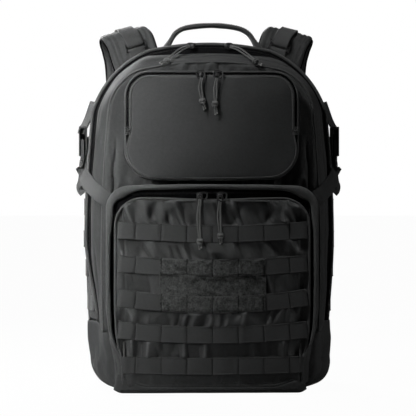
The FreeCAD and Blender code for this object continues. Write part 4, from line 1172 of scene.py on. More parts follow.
def make_rows():
    tacks = [x * TACK_PITCH for x in range(-3, 4)]
    threads = {"organizer_cover": Piece(), "front_door": Piece()}
    rows = Piece()
    for row in ROWS:
        rows.grid(webbing_grid(row, ROW_HALF), around=True, caps=True)
    rows.make("cover_webbing", TAPE, "organizer_cover", "webbing", ("cover_webbing_rows",))
    Piece().grid(webbing_grid(LOWER_ROW, LOWER_HALF), around=True, caps=True).make(
        "lower_webbing", TAPE, "front_door", "webbing", ("lower_webbing_row",)
    )
    for row, half, body in [(row, ROW_HALF, "organizer_cover") for row in ROWS] + [
        (LOWER_ROW, LOWER_HALF, "front_door")
    ]:
        for x in tacks:
            centre = float(row_height(np.array(x), row, half))
            y = float(webbing_depth(np.array(x), row, half)) - 0.9
            for step in np.linspace(-WEBBING / 2 + 0.6, WEBBING / 2 - 0.6, 19):
                lift = 1.3 if row in ROWS[1:3] and abs(x) < LOOP_HALF else 0
                threads[body].bead((x, y - lift, centre + step), (1, 0, 0.25), (0, -1, 0), 4.6, 2.4, 2.4)
    for body, piece in threads.items():
        piece.make(body + "_bar_tacks", THREAD, body)


def nap_grid(x, low, high, depth, count, seed):
    """A fuzzy facing between two edge lines: a fine grid roughened with curls."""
    share = np.linspace(0, 1, count)
    z = low[None, :] + (high - low)[None, :] * share[:, None]
    y = depth(x[None, :] + 0 * z, z)
    edge_fall = 1.1 * (1 - smooth(np.minimum(share, 1 - share) / 0.07)[:, None])
    rough = np.random.RandomState(seed).uniform(-0.55, 0.35, z.shape)
    soft = 0.6 * noise(x[None, :] / 4.5, z / 4.5, seed + 1) + 1.3 * noise(
        (x[None, :] + z) / 15, z / 22, seed + 2
    )
    return np.stack([x[None, :] + 0 * z, y + edge_fall - rough - soft, z], 2)


def make_loops():
    facings = Piece()
    hems = Piece()
    x = np.linspace(-LOOP_HALF, LOOP_HALF, 132)
    for number in (1, 2):
        row = ROWS[number]
        centre = row_height(x, row)
        grid = nap_grid(
            x,
            centre - 11.2,
            centre + 11.2,
            lambda x,
            z: webbing_depth(x, row, ROW_HALF) - 1.5,
            21,
            80 + number,
        )
        facings.grid(grid, out=(0, -1, 0))
        for side in (-1, 1):
            line = np.column_stack([x, webbing_depth(x, row, ROW_HALF) - 1.4, centre + side * 11.9])
            hems.tube(line, ring(0.55, 6), (0, -1, 0))
    facings.make("loop_facings", LOOP, "organizer_cover", "loop_pile", thickness=0.8)
    low = row_height(x, ROWS[2]) + WEBBING / 2 - 2
    high = row_height(x, ROWS[1]) - WEBBING / 2 + 2
    drape = lambda x, z: ORGANIZER - 2.6 - cover_swell(x, z) - 3.4 * creases(x / 30 + z / 34, z / 50, 85)
    Piece().grid(nap_grid(x, low, high, drape, 27, 86), out=(0, -1, 0)).make(
        "loop_name_panel", LOOP, "organizer_cover", "loop_pile", ("loop_panel",), thickness=1.0
    )
    for end in (-LOOP_HALF, LOOP_HALF):
        z = np.linspace(float(np.interp(end, x, low)), float(np.interp(end, x, high)), 12)
        line = np.column_stack([np.full(12, end), drape(np.full(12, end), z) - 0.4, z])
        hems.tube(line, ring(0.7, 6), (0, -1, 0))
    hems.make("loop_hems", BINDING, "organizer_cover", "loop_pile")


def band_top(x):
    return 15.5 + 13 * smooth((np.abs(x) - 88) / 52)


def band_wrap(x):
    """How far the band runs back round the organizer's lower corners."""
    corner = np.clip((np.abs(x) - 124) / 14, 0, 1)
    return 14 * (1 - np.sqrt(1 - 0.98 * corner**2))


def make_bottom_band():
    x = np.linspace(-138, 138, 170)
    share = np.linspace(0, 1, 26)[:, None]
    top = band_top(x)[None, :]
    low = 0.8 + 3.5 * smooth((np.abs(x) - 122) / 16)[None, :] ** 2
    z = low + (top - low) * share
    half_depth = ORGANIZER - 1.4 - 1.0 * np.sin(math.pi * share)
    y = half_depth + 3.0 * (1 - smooth(z / 6)) + 0.8 * noise(x[None, :] / 22, z / 14, 91) + band_wrap(x)
    for drop in (2.4, 6.2):
        y = y + 1.1 * bell((top - z - drop) / 0.9)
    grid = np.stack([x[None, :] * (1.045 - 0.045 * z / 28) - 3.0, y, z], 2)
    item = Piece().grid(grid, out=(0, -1, 0)).make(
        "bottom_band", CLOTH, None, "pack_nylon", thickness=1.6, level=1
    )
    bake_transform(item)
    piece = Piece()
    for drop in (2.4, 6.2):
        inner = x[3:-3]
        line = np.column_stack([inner - 3.0, ORGANIZER - 2.2 + band_wrap(inner), band_top(inner) - drop])
        piece.seam(line, (0, -1, 0))
    stitches = piece.make("bottom_band_stitching", THREAD, None)
    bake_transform(stitches)


# ---- Padding: closed forms blown up by a short cloth simulation, then sewn down along channels


def coordinates_of(mesh):
    values = np.empty(len(mesh.vertices) * 3)
    mesh.vertices.foreach_get("co", values)
    return values.reshape(-1, 3)


PAD_VOXEL = 4.5
PAD_PRESSURE = 4.0
PAD_SWELL = 4.0
PAD_FRAMES = 20


def swollen(item):
    """A closed piece swollen by air pressure, each point moving no further than PAD_SWELL."""
    scene = bpy.context.scene
    remesh = item.modifiers.new("remesh", "REMESH")
    remesh.mode = "VOXEL"
    remesh.voxel_size = PAD_VOXEL * MM
    remesh.use_smooth_shade = True
    settle(item)
    start = coordinates_of(item.data)
    cloth = item.modifiers.new("air", "CLOTH")
    cloth.settings.use_pressure = True
    cloth.settings.uniform_pressure_force = PAD_PRESSURE
    cloth.settings.effector_weights.gravity = 0
    cloth.settings.quality = 6
    cloth.point_cache.frame_start = 1
    cloth.point_cache.frame_end = PAD_FRAMES
    for number in range(1, PAD_FRAMES + 1):
        scene.frame_set(number)
    settle(item)
    move = coordinates_of(item.data) - start
    size = np.linalg.norm(move, axis=1, keepdims=True)
    move *= np.minimum(1, PAD_SWELL * MM / np.maximum(size, 1e-9))
    item.data.vertices.foreach_set("co", (start + move).ravel())
    item.data.update()
    scene.frame_set(1)
    rounding = item.modifiers.new("rounding", "SUBSURF")
    rounding.levels = rounding.render_levels = 1
    return item


def settle(item):
    """Keep what the piece's modifiers make of its mesh, and take the modifiers off."""
    graph = bpy.context.evaluated_depsgraph_get()
    mesh = bpy.data.meshes.new_from_object(item.evaluated_get(graph), depsgraph=graph)
    item.modifiers.clear()
    old, item.data = item.data, mesh
    bpy.data.meshes.remove(old)


def sewn_down(item, lines, width, depth):
    """Grooves pressed into the face of a piece that looks back, along seam lines."""
    settle(item)
    tree = KDTree(sum(len(line) for line in lines))
    number = 0
    for line in lines:
        for point in line:
            tree.insert(Vector(point * MM), number)
            number += 1
    tree.balance()
    points = coordinates_of(item.data)
    normals = np.array([vertex.normal for vertex in item.data.vertices])
    near = np.array([tree.find(point)[2] for point in points]) / MM
    facing = np.clip(normals[:, 1] * 2, 0, 1)
    press = depth * bell(near / width) * facing
    points -= normals * (press * MM)[:, None]
    item.data.vertices.foreach_set("co", points.ravel())
    item.data.polygons.foreach_set("use_smooth", [True] * len(item.data.polygons))
    item.data.update()
    return item


def cushion(middle, half, high, low_y, high_y, radius):
    """A rounded-rectangle cushion standing on the back panel, crowned on its outer face."""
    outline = resampled(rounded(half, -high, high, radius, radius), 120, closed=True) + middle
    rows = []
    for lift in np.linspace(0, 1, 14):
        angle = lift * math.pi / 2
        inward = (1 - math.cos(angle)) * min(half, high) * 0.32
        share = 1 - inward / min(half, high)
        rows.append(
            raised(toward(middle, outline, share), low_y + (high_y - low_y) * math.sin(angle) ** 0.55)
        )
    for share in np.linspace(0.6, 0.05, 10):
        rows.append(raised(toward(middle, outline, share), high_y + 0.4 * (1 - share)))
    return np.stack(rows)


def make_back_pads():
    low_y = BACK
    for name in ("left", "right"):
        node = "back_pad_" + name
        low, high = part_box(node)
        middle = np.array([(low.x + high.x) / 2, (low.z + high.z) / 2]) / MM
        half, tall = (high.x - low.x) / 2 / MM - 1.5, (high.z - low.z) / 2 / MM - 1.5
        lines = []
        for step in (-0.5, 0, 0.5):
            z = middle[1] + step * tall
            x = np.linspace(middle[0] - half, middle[0] + half, 40)
            lines.append(
                np.column_stack([x, np.full(40, high.y / MM), z + 9 * ((x - middle[0]) / half) ** 2])
            )
        make_pad(node, middle, half, tall, low_y, high.y / MM - 1.5, lines)
    low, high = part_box("lumbar_pad")
    middle = np.array([0.0, (low.z + high.z) / 2 / MM])
    half, tall = high.x / MM - 1.5, (high.z - low.z) / 2 / MM - 1.5
    lines = []
    for x in (-58.0, 0.0, 58.0):
        z = np.linspace(middle[1] - tall, middle[1] + tall, 30)
        lines.append(np.column_stack([np.full(30, x), np.full(30, high.y / MM), z]))
    make_pad("lumbar_pad", middle, half, tall, low_y, high.y / MM - 1.5, lines)


def make_pad(node, middle, half, tall, low_y, high_y, channels):
    grid = cushion(middle, half - 1.5, tall - 1.5, low_y, high_y - 1.5, 18)
    item = Piece().grid(grid, around=True, caps=True, out=(0, 1, 0)).make(
        node + "_mesh", MESH, "root", "spacer_mesh", (node,)
    )
    swollen(item)
    sewn_down(item, channels, 5.0, 4.5)
    flatten_below(item, low_y)
    outline = resampled(rounded(half, -tall, tall, 20, 20), 160, closed=True) + middle
    Piece().tube(raised(outline, low_y + 1.6), ring(2.2, 8), (0, 1, 0), closed=True).make(
        node + "_binding", BINDING, "root", "pack_nylon"
    )
    stitches = Piece()
    for line in channels:
        points = line.copy()
        points[:, 1] = high_y - 3.4
        stitches.seam(points[3:-3], (0, 1, 0), pitch=4.6)
    stitches.make(node + "_stitching", THREAD, "root")


def flatten_below(item, low_y):
    """Press a pad flat against the panel that it is sewn on."""
    points = coordinates_of(item.data)
    points[:, 1] = np.maximum(points[:, 1], (low_y - 0.5) * MM)
    item.data.vertices.foreach_set("co", points.ravel())
    item.data.update()


def make_yoke():
    low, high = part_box("shoulder_yoke")
    middle = np.array([0.0, (low.z + high.z) / 2 / MM])
    half, tall = high.x / MM, (high.z - low.z) / 2 / MM
    outline = resampled(rounded(half, -tall, tall, 12, 28), 200, closed=True) + middle
    rows = []
    for share, lift in (
        (1, 0), (1, 2.6), (0.985, 4.2), (0.96, 4.6), (0.9, 4.4), (0.6, 4.4), (0.3, 4.5), (0.05, 4.5)
    ):
        rows.append(
            raised(
                toward(middle, outline, share), lambda x, z: BACK + lift + 0.3 * noise(x / 26, z / 18, 131)
            )
        )
    Piece().grid(np.stack(rows), around=True, caps="last", out=(0, 1, 0)).make(
        "shoulder_yoke_cloth", CLOTH, "root", "pack_nylon", ("shoulder_yoke",)
    )
    seams = Piece()
    for share in (0.955, 0.925):
        seams.seam(raised(toward(middle, outline, share), BACK + 4.9), (0, 1, 0))
    seams.make("shoulder_yoke_stitching", THREAD, "root")


def soft_plate(name, node, material, slot, body, thickness, hem, front, seed):
    """A sewn flat part inside the pack, slightly slack, with a bound top edge."""
    low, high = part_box(node)
    middle_x, y = (low.x + high.x) / 2 / MM, (low.y + high.y) / 2 / MM
    half = (high.x - low.x) / 2 / MM - 1
    base, top = low.z / MM + 1, high.z / MM - 2
    z = np.linspace(base, top, 60)[:, None]
    x = middle_x + np.linspace(-half, half, 70)[None, :]
    corner = 13.0
    inset = corner - np.sqrt(np.clip(corner**2 - np.clip(corner - (z - base), 0, corner) ** 2, 0, None))
    x = middle_x + (x - middle_x) * (1 - inset / half)
    slack = np.sin(math.pi * np.clip((x - middle_x) / half * 0.5 + 0.5, 0, 1)) * smooth((z - base) / 60)
    depth = y + front * (0.9 * slack + 0.5 * slack * noise(x / 38, z / 50, seed))
    grid = np.stack([x + 0 * z, depth, z + 0 * x], 2)
    Piece().grid(grid, out=(0, front, 0)).make(name, material, body, slot, (node,), thickness=thickness)
    piece = Piece().tube(grid[-1] + (0, 0, 1), ring(hem, 8), (0, 1, 0))
    piece.make(name + "_hem", BINDING, body, slot)
    seams = Piece()
    seams.seam(grid[-4] + (0, front * 0.8, 0), (0, front, 0), pitch=5)
    seams.seam(grid[2] + (0, front * 0.8, 0), (0, front, 0), pitch=5)
    seams.make(name + "_stitching", THREAD_LIGHT, body)


def make_inside():
    soft_plate("inner_sleeve_cloth", "inner_sleeve", CLOTH_BACK, "pack_nylon", "root", 1.0, 1.8, -1, 141)
    soft_plate("door_mesh_net", "door_mesh_pocket", MESH, "spacer_mesh", "front_door", 0.9, 2.0, 1, 142)


def make_strap_ends(side, name):
    """The webbing below each ladder lock, down to where it is stitched near the bottom."""
    route = [
        (side * 141, 143.5, 205),
        (side * 141, 143, 190),
        (side * 144, 135, 165),
        (side * 147, 128, 140),
        (side * 149.5, 117, 108),
        (side * 151, 108, 80),
        (side * 152, 103, 66),
    ]
    piece = Piece().tube(catmull(route, 6), strap_section(WEBBING, 1.9), (0, 1, 0.3))
    piece.make("lower_webbing_tape_" + name, TAPE, "root", "webbing", ("lower_webbing_" + name,))
    seams = Piece()
    for z, y in ((72, 106.3), (78, 108.4)):
        x = np.linspace(side * 151.5 - 10, side * 151.5 + 10, 9)
        seams.seam(
            np.column_stack([x, np.full(9, y), np.full(9, float(z))]), (0, 1, 0.2), pitch=2.5, length=2.0
        )
    seams.make("lower_webbing_stitching_" + name, THREAD, "root")


def make_sternum():
    for name, slot_body in (("left", "sternum_release"), ("right", "sternum_strap")):
        node = "sternum_webbing_" + name
        low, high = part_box(node)
        x = np.linspace(low.x / MM + 1, high.x / MM - 1, 60)
        y = (low.y + high.y) / 2 / MM
        z = (low.z + high.z) / 2 / MM
        sag = 2.2 * np.sin(math.pi * np.linspace(0, 1, 60))
        path = np.column_stack([x, y + 0.4 * noise(x / 24, 0, 151), z - sag])
        Piece().tube(path, strap_section(19.5, 1.8), (0, 1, 0)).make(
            node + "_tape", TAPE, slot_body, "webbing", (node,)
        )


# ---- Shoulder straps

STRAP_WIDTH = 74.0
STRAP_HALF_THICK = 7.0


def strap_stations(side):
    """Centres and across-directions of a shoulder strap, as its CAD solid has them."""
    lean, top_lean, level = (side * 0.915, 0, -0.404), (side * 0.972, 0, -0.235), (side, 0, 0)
    stations = [((side * 82, 113, 440), lean), ((side * 112, 113, 506), lean)]
    for turn, x in ((30, 123), (60, 131), (90, 136), (120, 137), (150, 133)):
        angle = math.radians(turn)
        stations.append(((side * x, 150 - 37 * math.cos(angle), 520.5 + 37 * math.sin(angle)), top_lean))
    for x, y, z in ((127, 187, 506), (123, 187, 420), (126, 182, 330), (135, 165, 255), (141, 150, 218)):
        stations.append(((side * x, y, z), level))
    return stations


class Strap:
    """Smooth frames along a strap: where it runs, across it, and out of its face."""

    def __init__(self, stations):
        self.path = catmull([centre for centre, _ in stations], 9)
        across = catmull([direction for _, direction in stations], 9)
        along = unit(np.gradient(self.path, axis=0))
        self.across = unit(across - along * (across * along).sum(1, keepdims=True))
        self.out = np.cross(self.across, along)
        if self.out[0, 1] > 0:
            self.out = -self.out
        self.run = np.concatenate([[0], np.cumsum(np.linalg.norm(np.diff(self.path, axis=0), axis=1))])

    def at(self, run, across, out):
        """Points at distances along, across and out of the strap's middle."""
        run = np.asarray(run, float)
        pick = lambda values: np.stack([np.interp(run, self.run, values[:, axis]) for axis in range(3)], -1)
        return (
            pick(self.path)
            + pick(self.across) * np.asarray(across, float)[..., None]
            + pick(self.out) * np.asarray(out, float)[..., None]
        )

    def ribbon(self, route, width, thickness, shift=0.0):
        """Webbing along a route of (run, out) pairs, its edges square to the strap."""
        route = catmull(route, 5)
        shift = np.interp(np.linspace(0, 1, len(route)), np.linspace(0, 1, np.size(shift)), np.ravel(shift))
        centre = self.at(route[:, 0], shift, route[:, 1])
        one_side = self.at(route[:, 0], shift - 1, route[:, 1])
        across = unit(centre - one_side)
        along = unit(np.gradient(centre, axis=0))
        rise = np.cross(across, along)
        section = np.array(strap_section(width, thickness))
        return centre[:, None] + section[:, :1] * across[:, None] + section[:, 1:] * rise[:, None]


def make_shoulder_strap(side, name):
    strap = Strap(strap_stations(side))
    total = strap.run[-1]
    run = np.linspace(0, total, 190)[:, None]
    turn = np.linspace(0, 2 * math.pi, 73)[:-1][None, :]
    across = STRAP_WIDTH / 2 * squared_off(np.cos(turn), 0.45)
    end = 0.3 + 0.7 * smooth(run / 30) * smooth((total - run) / 16)
    thick = STRAP_HALF_THICK * squared_off(np.sin(turn), 0.6) * end
    for channel in (-27.5, -20.5, 20.5, 27.5):
        thick = thick * (1 - 0.26 * bell((across - channel) / 1.7))
    thick = thick * (1 + 0.05 * noise(run / 24, across / 20, 101) + 0.03 * noise(run / 8, across / 30, 102))
    narrowed = lambda at: 1 - 0.28 * smooth((at - total + 110) / 90)
    grid = strap.at(run + 0 * across, across * narrowed(run), thick)
    item = Piece().grid(grid, around=True, caps=True).make(
        "shoulder_strap_pad_" + name, CLOTH, "root", "pack_nylon", ("shoulder_strap_" + name,)
    )
    lining_across = np.linspace(-31, 31, 24)[None, :]
    line_run = np.linspace(8, total - 10, 170)[:, None]
    depth = -STRAP_HALF_THICK * (1 - np.abs(lining_across / 36) ** 5) - 0.5
    lining = strap.at(line_run + 0 * lining_across, lining_across * narrowed(line_run), depth + 0 * line_run)
    Piece().grid(lining).make(
        "shoulder_strap_lining_" + name, MESH, "root", "spacer_mesh", thickness=1.0
    )
    edges = Piece()
    seams = Piece()
    edge_run = np.linspace(2, total - 3, 180)
    for sign in (-1, 1):
        path = strap.at(edge_run, sign * (STRAP_WIDTH / 2 - 0.4) * narrowed(edge_run), -1.2)
        out = unit(strap.at(edge_run, 0, 1.0) - strap.at(edge_run, 0, 0.0))
        edges.tube(path, ring(2.4, 8), out)
        for channel in (20.5, 27.5):
            line = strap.at(edge_run, sign * channel * narrowed(edge_run), STRAP_HALF_THICK * 0.93)
            seams.seam(line, (0, -1, 0.3), pitch=4.4)
    # The edge binding uses the same near-black tape, painted as deep as shade.
    edges.make("shoulder_strap_binding_" + name, PAINTED_SHADE_TAPE, "root", "spacer_mesh")
    seams.make("shoulder_strap_stitching_" + name, THREAD, "root")
    make_strap_webbing(strap, name)


def make_strap_webbing(strap, name):
    """Webbing over the top, folded round a bar at its front end, and the tab that holds the bar."""
    bar = 104.0
    top = STRAP_HALF_THICK + 2.2
    route = [
        (bar + 5, 8.2),
        (bar - 2.5, 8.8),
        (bar - 5.4, 11.2),
        (bar - 3.2, 14.0),
        (bar + 3, 14.2),
        (bar + 12, 11.8),
    ]
    route += [(bar + 22, top + 0.8), (bar + 45, top), (bar + 90, top), (bar + 140, top), (bar + 190, top)]
    drift = (-6.0, -6.0, -6.0, -6.0, -5.5, -4.5, -3.0, -1.5, 0, 0, 0)
    webbing = Piece().grid(strap.ribbon(route, WEBBING, 2.2, shift=drift), around=True, caps=True)
    tab = [
        (bar - 50, 6.8),
        (bar - 36, top),
        (bar - 20, top + 0.6),
        (bar - 11, top + 1.6),
        (bar - 8.4, 10.0),
        (bar - 11.5, 7.6),
    ]
    webbing.grid(strap.ribbon(tab, WEBBING, 2.2, shift=-6.0), around=True, caps=True)
    webbing.make("strap_webbing_" + name, TAPE, "root", "webbing", ("strap_webbing_" + name,))
    bars = Piece()
    for at in (bar - 1.2, bar - 10.5):
        span = np.linspace(-16, 16, 9) - 6.0
        path = strap.at(np.full(9, at), span, np.full(9, 10.3))
        bars.tube(path, ring(1.5), (0, -1, 0))
    for sign in (-16.0, 16.0):
        path = strap.at(np.linspace(bar - 12, bar + 1, 6), np.full(6, sign - 6.0), np.full(6, 10.3))
        bars.tube(path, ring(1.5), (0, -1, 0))
    bars.make("strap_loop_bar_" + name, PLASTIC, "root", "buckle_plastic")
    stitches = Piece()
    for at in (bar + 17, bar + 20):
        line = strap.at(np.full(14, at), np.linspace(-11.5, 11.5, 14) - 5.0, np.full(14, top + 2.3))
        stitches.seam(line, (0, -1, 0.3), pitch=2.4, length=2.0)
    stitches.make("strap_webbing_stitching_" + name, THREAD, "root")


# ---- Grab handle


def make_handle():
    low = edge("grab_handle", 0, "z")
    half = edge("grab_handle", 1, "x")
    middle_y = (edge("grab_handle", 0, "y") + edge("grab_handle", 1, "y")) / 2
    top = HANDLE_CROWN - 2.0
    keys = [
        (-half + 11, low - 2),
        (-half + 20, low + 12),
        (-half + 31, top - 12),
        (-half + 49, top - 3.5),
        (6, top),
    ]
    keys += [(half - 39, top - 3.5), (half - 19, top - 12), (half - 7, low + 12), (half + 2, low - 2)]
    line = catmull(keys, 9)
    share = np.linspace(0, 1, len(line))
    foot = 1 - smooth(np.minimum(share, 1 - share) / 0.2)
    turn = np.linspace(0, 2 * math.pi, 25)[:-1]
    across = squared_off(np.cos(turn), 0.7)
    rise = squared_off(np.sin(turn), 0.7)
    deep = 10.5 - 1.5 * foot
    thick = 3.7 + 1.9 * foot + 0.25 * noise(share * 24, 0, 111)
    section = np.stack([deep[:, None] * across, thick[:, None] * rise], 2)
    path = np.column_stack([line[:, 0], np.full(len(line), middle_y), line[:, 1]])
    hub = np.column_stack([line[:, 0], np.zeros(len(line)), line[:, 1] - low + 60])
    Piece().tube(path, section, hub).make(
        "grab_handle_grip", TAPE, "grab_handle", "webbing", ("grab_handle",)
    )
    seams = Piece()
    for dy in (-7.5, 7.5):
        inner = path + unit(hub) * (thick[:, None] * 0.97) + (0, dy, 0)
        seams.seam(inner[6:-6], (0, 0, 1), pitch=4.0)
    seams.make("grab_handle_stitching", THREAD, "grab_handle")


# ---- Zip sliders and knotted pull cords


def chamfered(piece, centre, size, chamfer=0.22):
    """A small moulded block with softened edges; the shortest way is its depth, along Y."""
    width, depth, height = size
    turn = np.linspace(0, 2 * math.pi, 17)[:-1]
    across = squared_off(np.cos(turn), 0.45) * width / 2
    up = squared_off(np.sin(turn), 0.45) * height / 2
    rows = []
    for share, scale in (
        (-0.5, 1 - chamfer), (-0.5 + chamfer * 0.6, 1), (0.5 - chamfer * 0.6, 1), (0.5, 1 - chamfer)
    ):
        block = [centre[0] + across * scale, np.full(16, centre[1] + depth * share), centre[2] + up * scale]
        rows.append(np.column_stack(block))
    return piece.grid(np.stack(rows), around=True, caps=True)


def wire_loop(piece, centre, width, height, radius, tilt, taper=0.75):
    """A closed wire ring, narrower at its lower end, tilted forward."""
    turn = np.linspace(0, 2 * math.pi, 33)[:-1]
    up = squared_off(np.sin(turn), 0.7) * height / 2
    narrow = taper + (1 - taper) * (up / height + 0.5)
    across = squared_off(np.cos(turn), 0.7) * width / 2 * narrow
    path = np.column_stack(
        [centre[0] + across, centre[1] - np.sin(tilt) * (height / 2 - up), centre[2] + np.cos(tilt) * up]
    )
    return piece.tube(path, ring(radius, 8), (0, -1, 0.01), closed=True)


def make_slider(name, centre, loop):
    """A slider's two plates, its bridge and its wire ring."""
    x, y, z = centre
    piece = Piece()
    chamfered(piece, (x, y - 0.9, z), (9.5, 1.8, 8.0))
    chamfered(piece, (x, y - 3.0, z), (8.0, 1.3, 6.6))
    chamfered(piece, (x, y - 4.1, z + 0.4), (2.6, 1.6, 7.4), 0.3)
    wire_loop(piece, (x + loop[0], y - 4.0, z + loop[1]), loop[2], loop[3], 1.05, 0.35)
    if len(loop) > 4:
        wire_loop(piece, (x, y - 5.2, z - loop[4] / 2), 7.5, loop[4], 1.5, 0.05, taper=0.9)
    piece.make(name + "_body", METAL, name, "zip_metal", (name,))


def spline_points(name, route):
    """Points along the smooth line whose control points are the route."""
    curve = bpy.data.curves.new(name, "CURVE")
    curve.dimensions = "3D"
    spline = curve.splines.new("NURBS")
    spline.points.add(len(route) - 1)
    for point, place in zip(spline.points, route):
        point.co = (*place, 1)
    spline.order_u = 3
    spline.use_endpoint_u = True
    spline.resolution_u = 12
    holder = linked(name, curve)
    bpy.context.view_layer.update()
    mesh = bpy.data.meshes.new_from_object(holder)
    points = np.array([vertex.co for vertex in mesh.vertices])
    bpy.data.objects.remove(holder)
    bpy.data.meshes.remove(mesh)
    return points


def make_pull(body, route, seed, tail):
    """Two strands of cord side by side, tied in an overhand knot with short cut tails."""
    path = spline_points(body + "_route", route) / MM
    share = np.linspace(0, 1, len(path))
    along = unit(np.gradient(path, axis=0))
    side = unit(np.cross(along, (0, -1, 0)))
    sway = noise(share * 3, seed, 121)[:, None]
    apart = (1.25 + 0.75 * np.sin(math.pi * share) ** 1.5)[:, None]
    strands = Piece()
    for sign in (-1, 1):
        strand = path + side * (sign * apart + 0.25 * sway)
        strands.tube(strand, ring(1.12, 8), (0, -1, 0.02))
    cord = strands.make(body + "_cord", CORD, body, "pull_cord", (body,))
    end, heading, turn_axis = path[-1], along[-1], side[-1]
    front = np.cross(turn_axis, heading)
    knot = Piece()
    for tilt, shift, wide in ((0.5, -2.1, 3.3), (-0.45, 0.6, 3.9), (0.35, 3.0, 3.1)):
        angles = np.linspace(0, 2 * math.pi, 25)[:-1]
        loop = (
            end
            + heading * (shift + np.sin(angles) * tilt * 2.2)[:, None]
            + turn_axis * (np.cos(angles) * wide)[:, None]
            + front * (np.sin(angles) * wide * 0.8)[:, None]
        )
        knot.tube(loop, ring(1.35, 8), heading, closed=True)
    core = np.stack([end + heading * step for step in np.linspace(-3.5, 4.5, 7)])
    radii = np.array([1.0, 2.2, 2.8, 3.0, 2.8, 2.2, 1.2])
    knot.tube(core, ring(1.0, 10) * radii[:, None, None], front)
    tip = end + np.array(tail)
    for sign in (-1, 1):
        bend = [
            end + heading * 2,
            end * 0.45 + tip * 0.55 + turn_axis * sign * 1.5,
            tip + turn_axis * sign * 1.3 + heading * sign * 0.9,
        ]
        knot.tube(catmull(bend, 5), ring(1.15, 8), front)
    knot_piece = knot.make(body + "_knot", CORD, body, "pull_cord")
    # The tail tips take the lighter material, a painted highlight where the tails catch the light.
    ends = Piece()
    for sign in (-1, 1):
        place = tip + turn_axis * sign * 1.3 + heading * (sign * 0.9 + 0.5)
        direction = unit(tip - end)
        ends.tube(
            np.stack([place - direction * 1.2, place + direction * 0.2, place + direction * 0.7]),
            ring(1.2, 8) * np.array([1, 1, 0.6])[:, None, None],
            front,
        )
    cut = ends.make(body + "_cut_ends", CORD_END_PAINTED_HIGHLIGHT, body, "pull_cord")


PULLS = {
    "organizer_pull_left": (
        [
            (-0.019, -0.108, 0.288),
            (-0.0215, -0.1092, 0.268),
            (-0.0205, -0.1098, 0.246),
            (-0.019, -0.1102, 0.226),
        ],
        0.0622,
        (0.6, -0.5, -10.5),
    ),
    "organizer_pull_right": (
        [(0.011, -0.108, 0.288), (0.009, -0.1092, 0.270), (0.0098, -0.1098, 0.252), (0.0115, -0.1102, 0.234)],
        0.0542,
        (0.8, -0.5, -10.5),
    ),
    "upper_pull_left": (
        [
            (-0.016, -0.0855, 0.469),
            (-0.018, -0.0858, 0.457),
            (-0.0165, -0.086, 0.446),
            (-0.0145, -0.0868, 0.435),
        ],
        0.0344,
        (3.5, -0.5, -12.0),
    ),
    "upper_pull_right": (
        [(0.007, -0.0855, 0.469), (0.0048, -0.0858, 0.456), (0.005, -0.086, 0.444), (0.0042, -0.0868, 0.431)],
        0.0382,
        (2.0, -0.5, -15.0),
    ),
    "main_pull_left": (
        [(-0.0315, 0.007, 0.525), (-0.041, -0.009, 0.5215), (-0.055, -0.028, 0.510), (-0.067, -0.049, 0.498)],
        0.0721,
        (-9.5, -4.0, -4.5),
    ),
    "main_pull_right": (
        [(0.0315, 0.007, 0.525), (0.041, -0.009, 0.5215), (0.055, -0.028, 0.510), (0.067, -0.049, 0.498)],
        0.0721,
        (8.5, -4.0, -6.0),
    ),
}


def make_zip_pulls():
    for name, loop in (
        ("organizer_slider_left", (5, -0.5, 13, 11, 17)),
        ("organizer_slider_right", (3, -2, 15, 14, 15)),
        ("upper_slider_left", (-1, -0.5, 14, 13)),
        ("upper_slider_right", (2, -0.5, 15, 13)),
        ("main_slider_left", (-3, -1, 12, 9)),
        ("main_slider_right", (3, -1, 12, 9)),
    ):
        low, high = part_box(name)
        centre = ((low.x + high.x) / 2 / MM, high.y / MM, (low.z + high.z) / 2 / MM)
        make_slider(name, centre, loop)
    for seed, (body, (route, length, tail)) in enumerate(PULLS.items()):
        make_pull(body, route, seed, tail)


# ---- Sides: webbing rows, buckle tabs, compression straps and their hanging tails


def box_middle(node, axis):
    return (edge(node, 0, axis) + edge(node, 1, axis)) / 2


SIDE_ROWS = (277.0, 227.0, 181.0, 127.0)
SIDE_TACKS = (10, 43, 76)  # behind the zip
SIDE_TACK_PITCH = 33


def side_surface(side, y, z):
    """Half width of the rear gusset's cloth at a depth and height."""
    share = np.clip((BACK - y) / (BACK - ZIP - 4), 0, 1)
    line = arch(ZIP_KEYS, 100)
    half = panel_rows(line, z)
    amount = LEFT_DRAW if side < 0 else RIGHT_DRAW
    return half - 2.5 - amount * share * smooth((235 - z) / 140) + 0.8 * np.sin(math.pi * share)


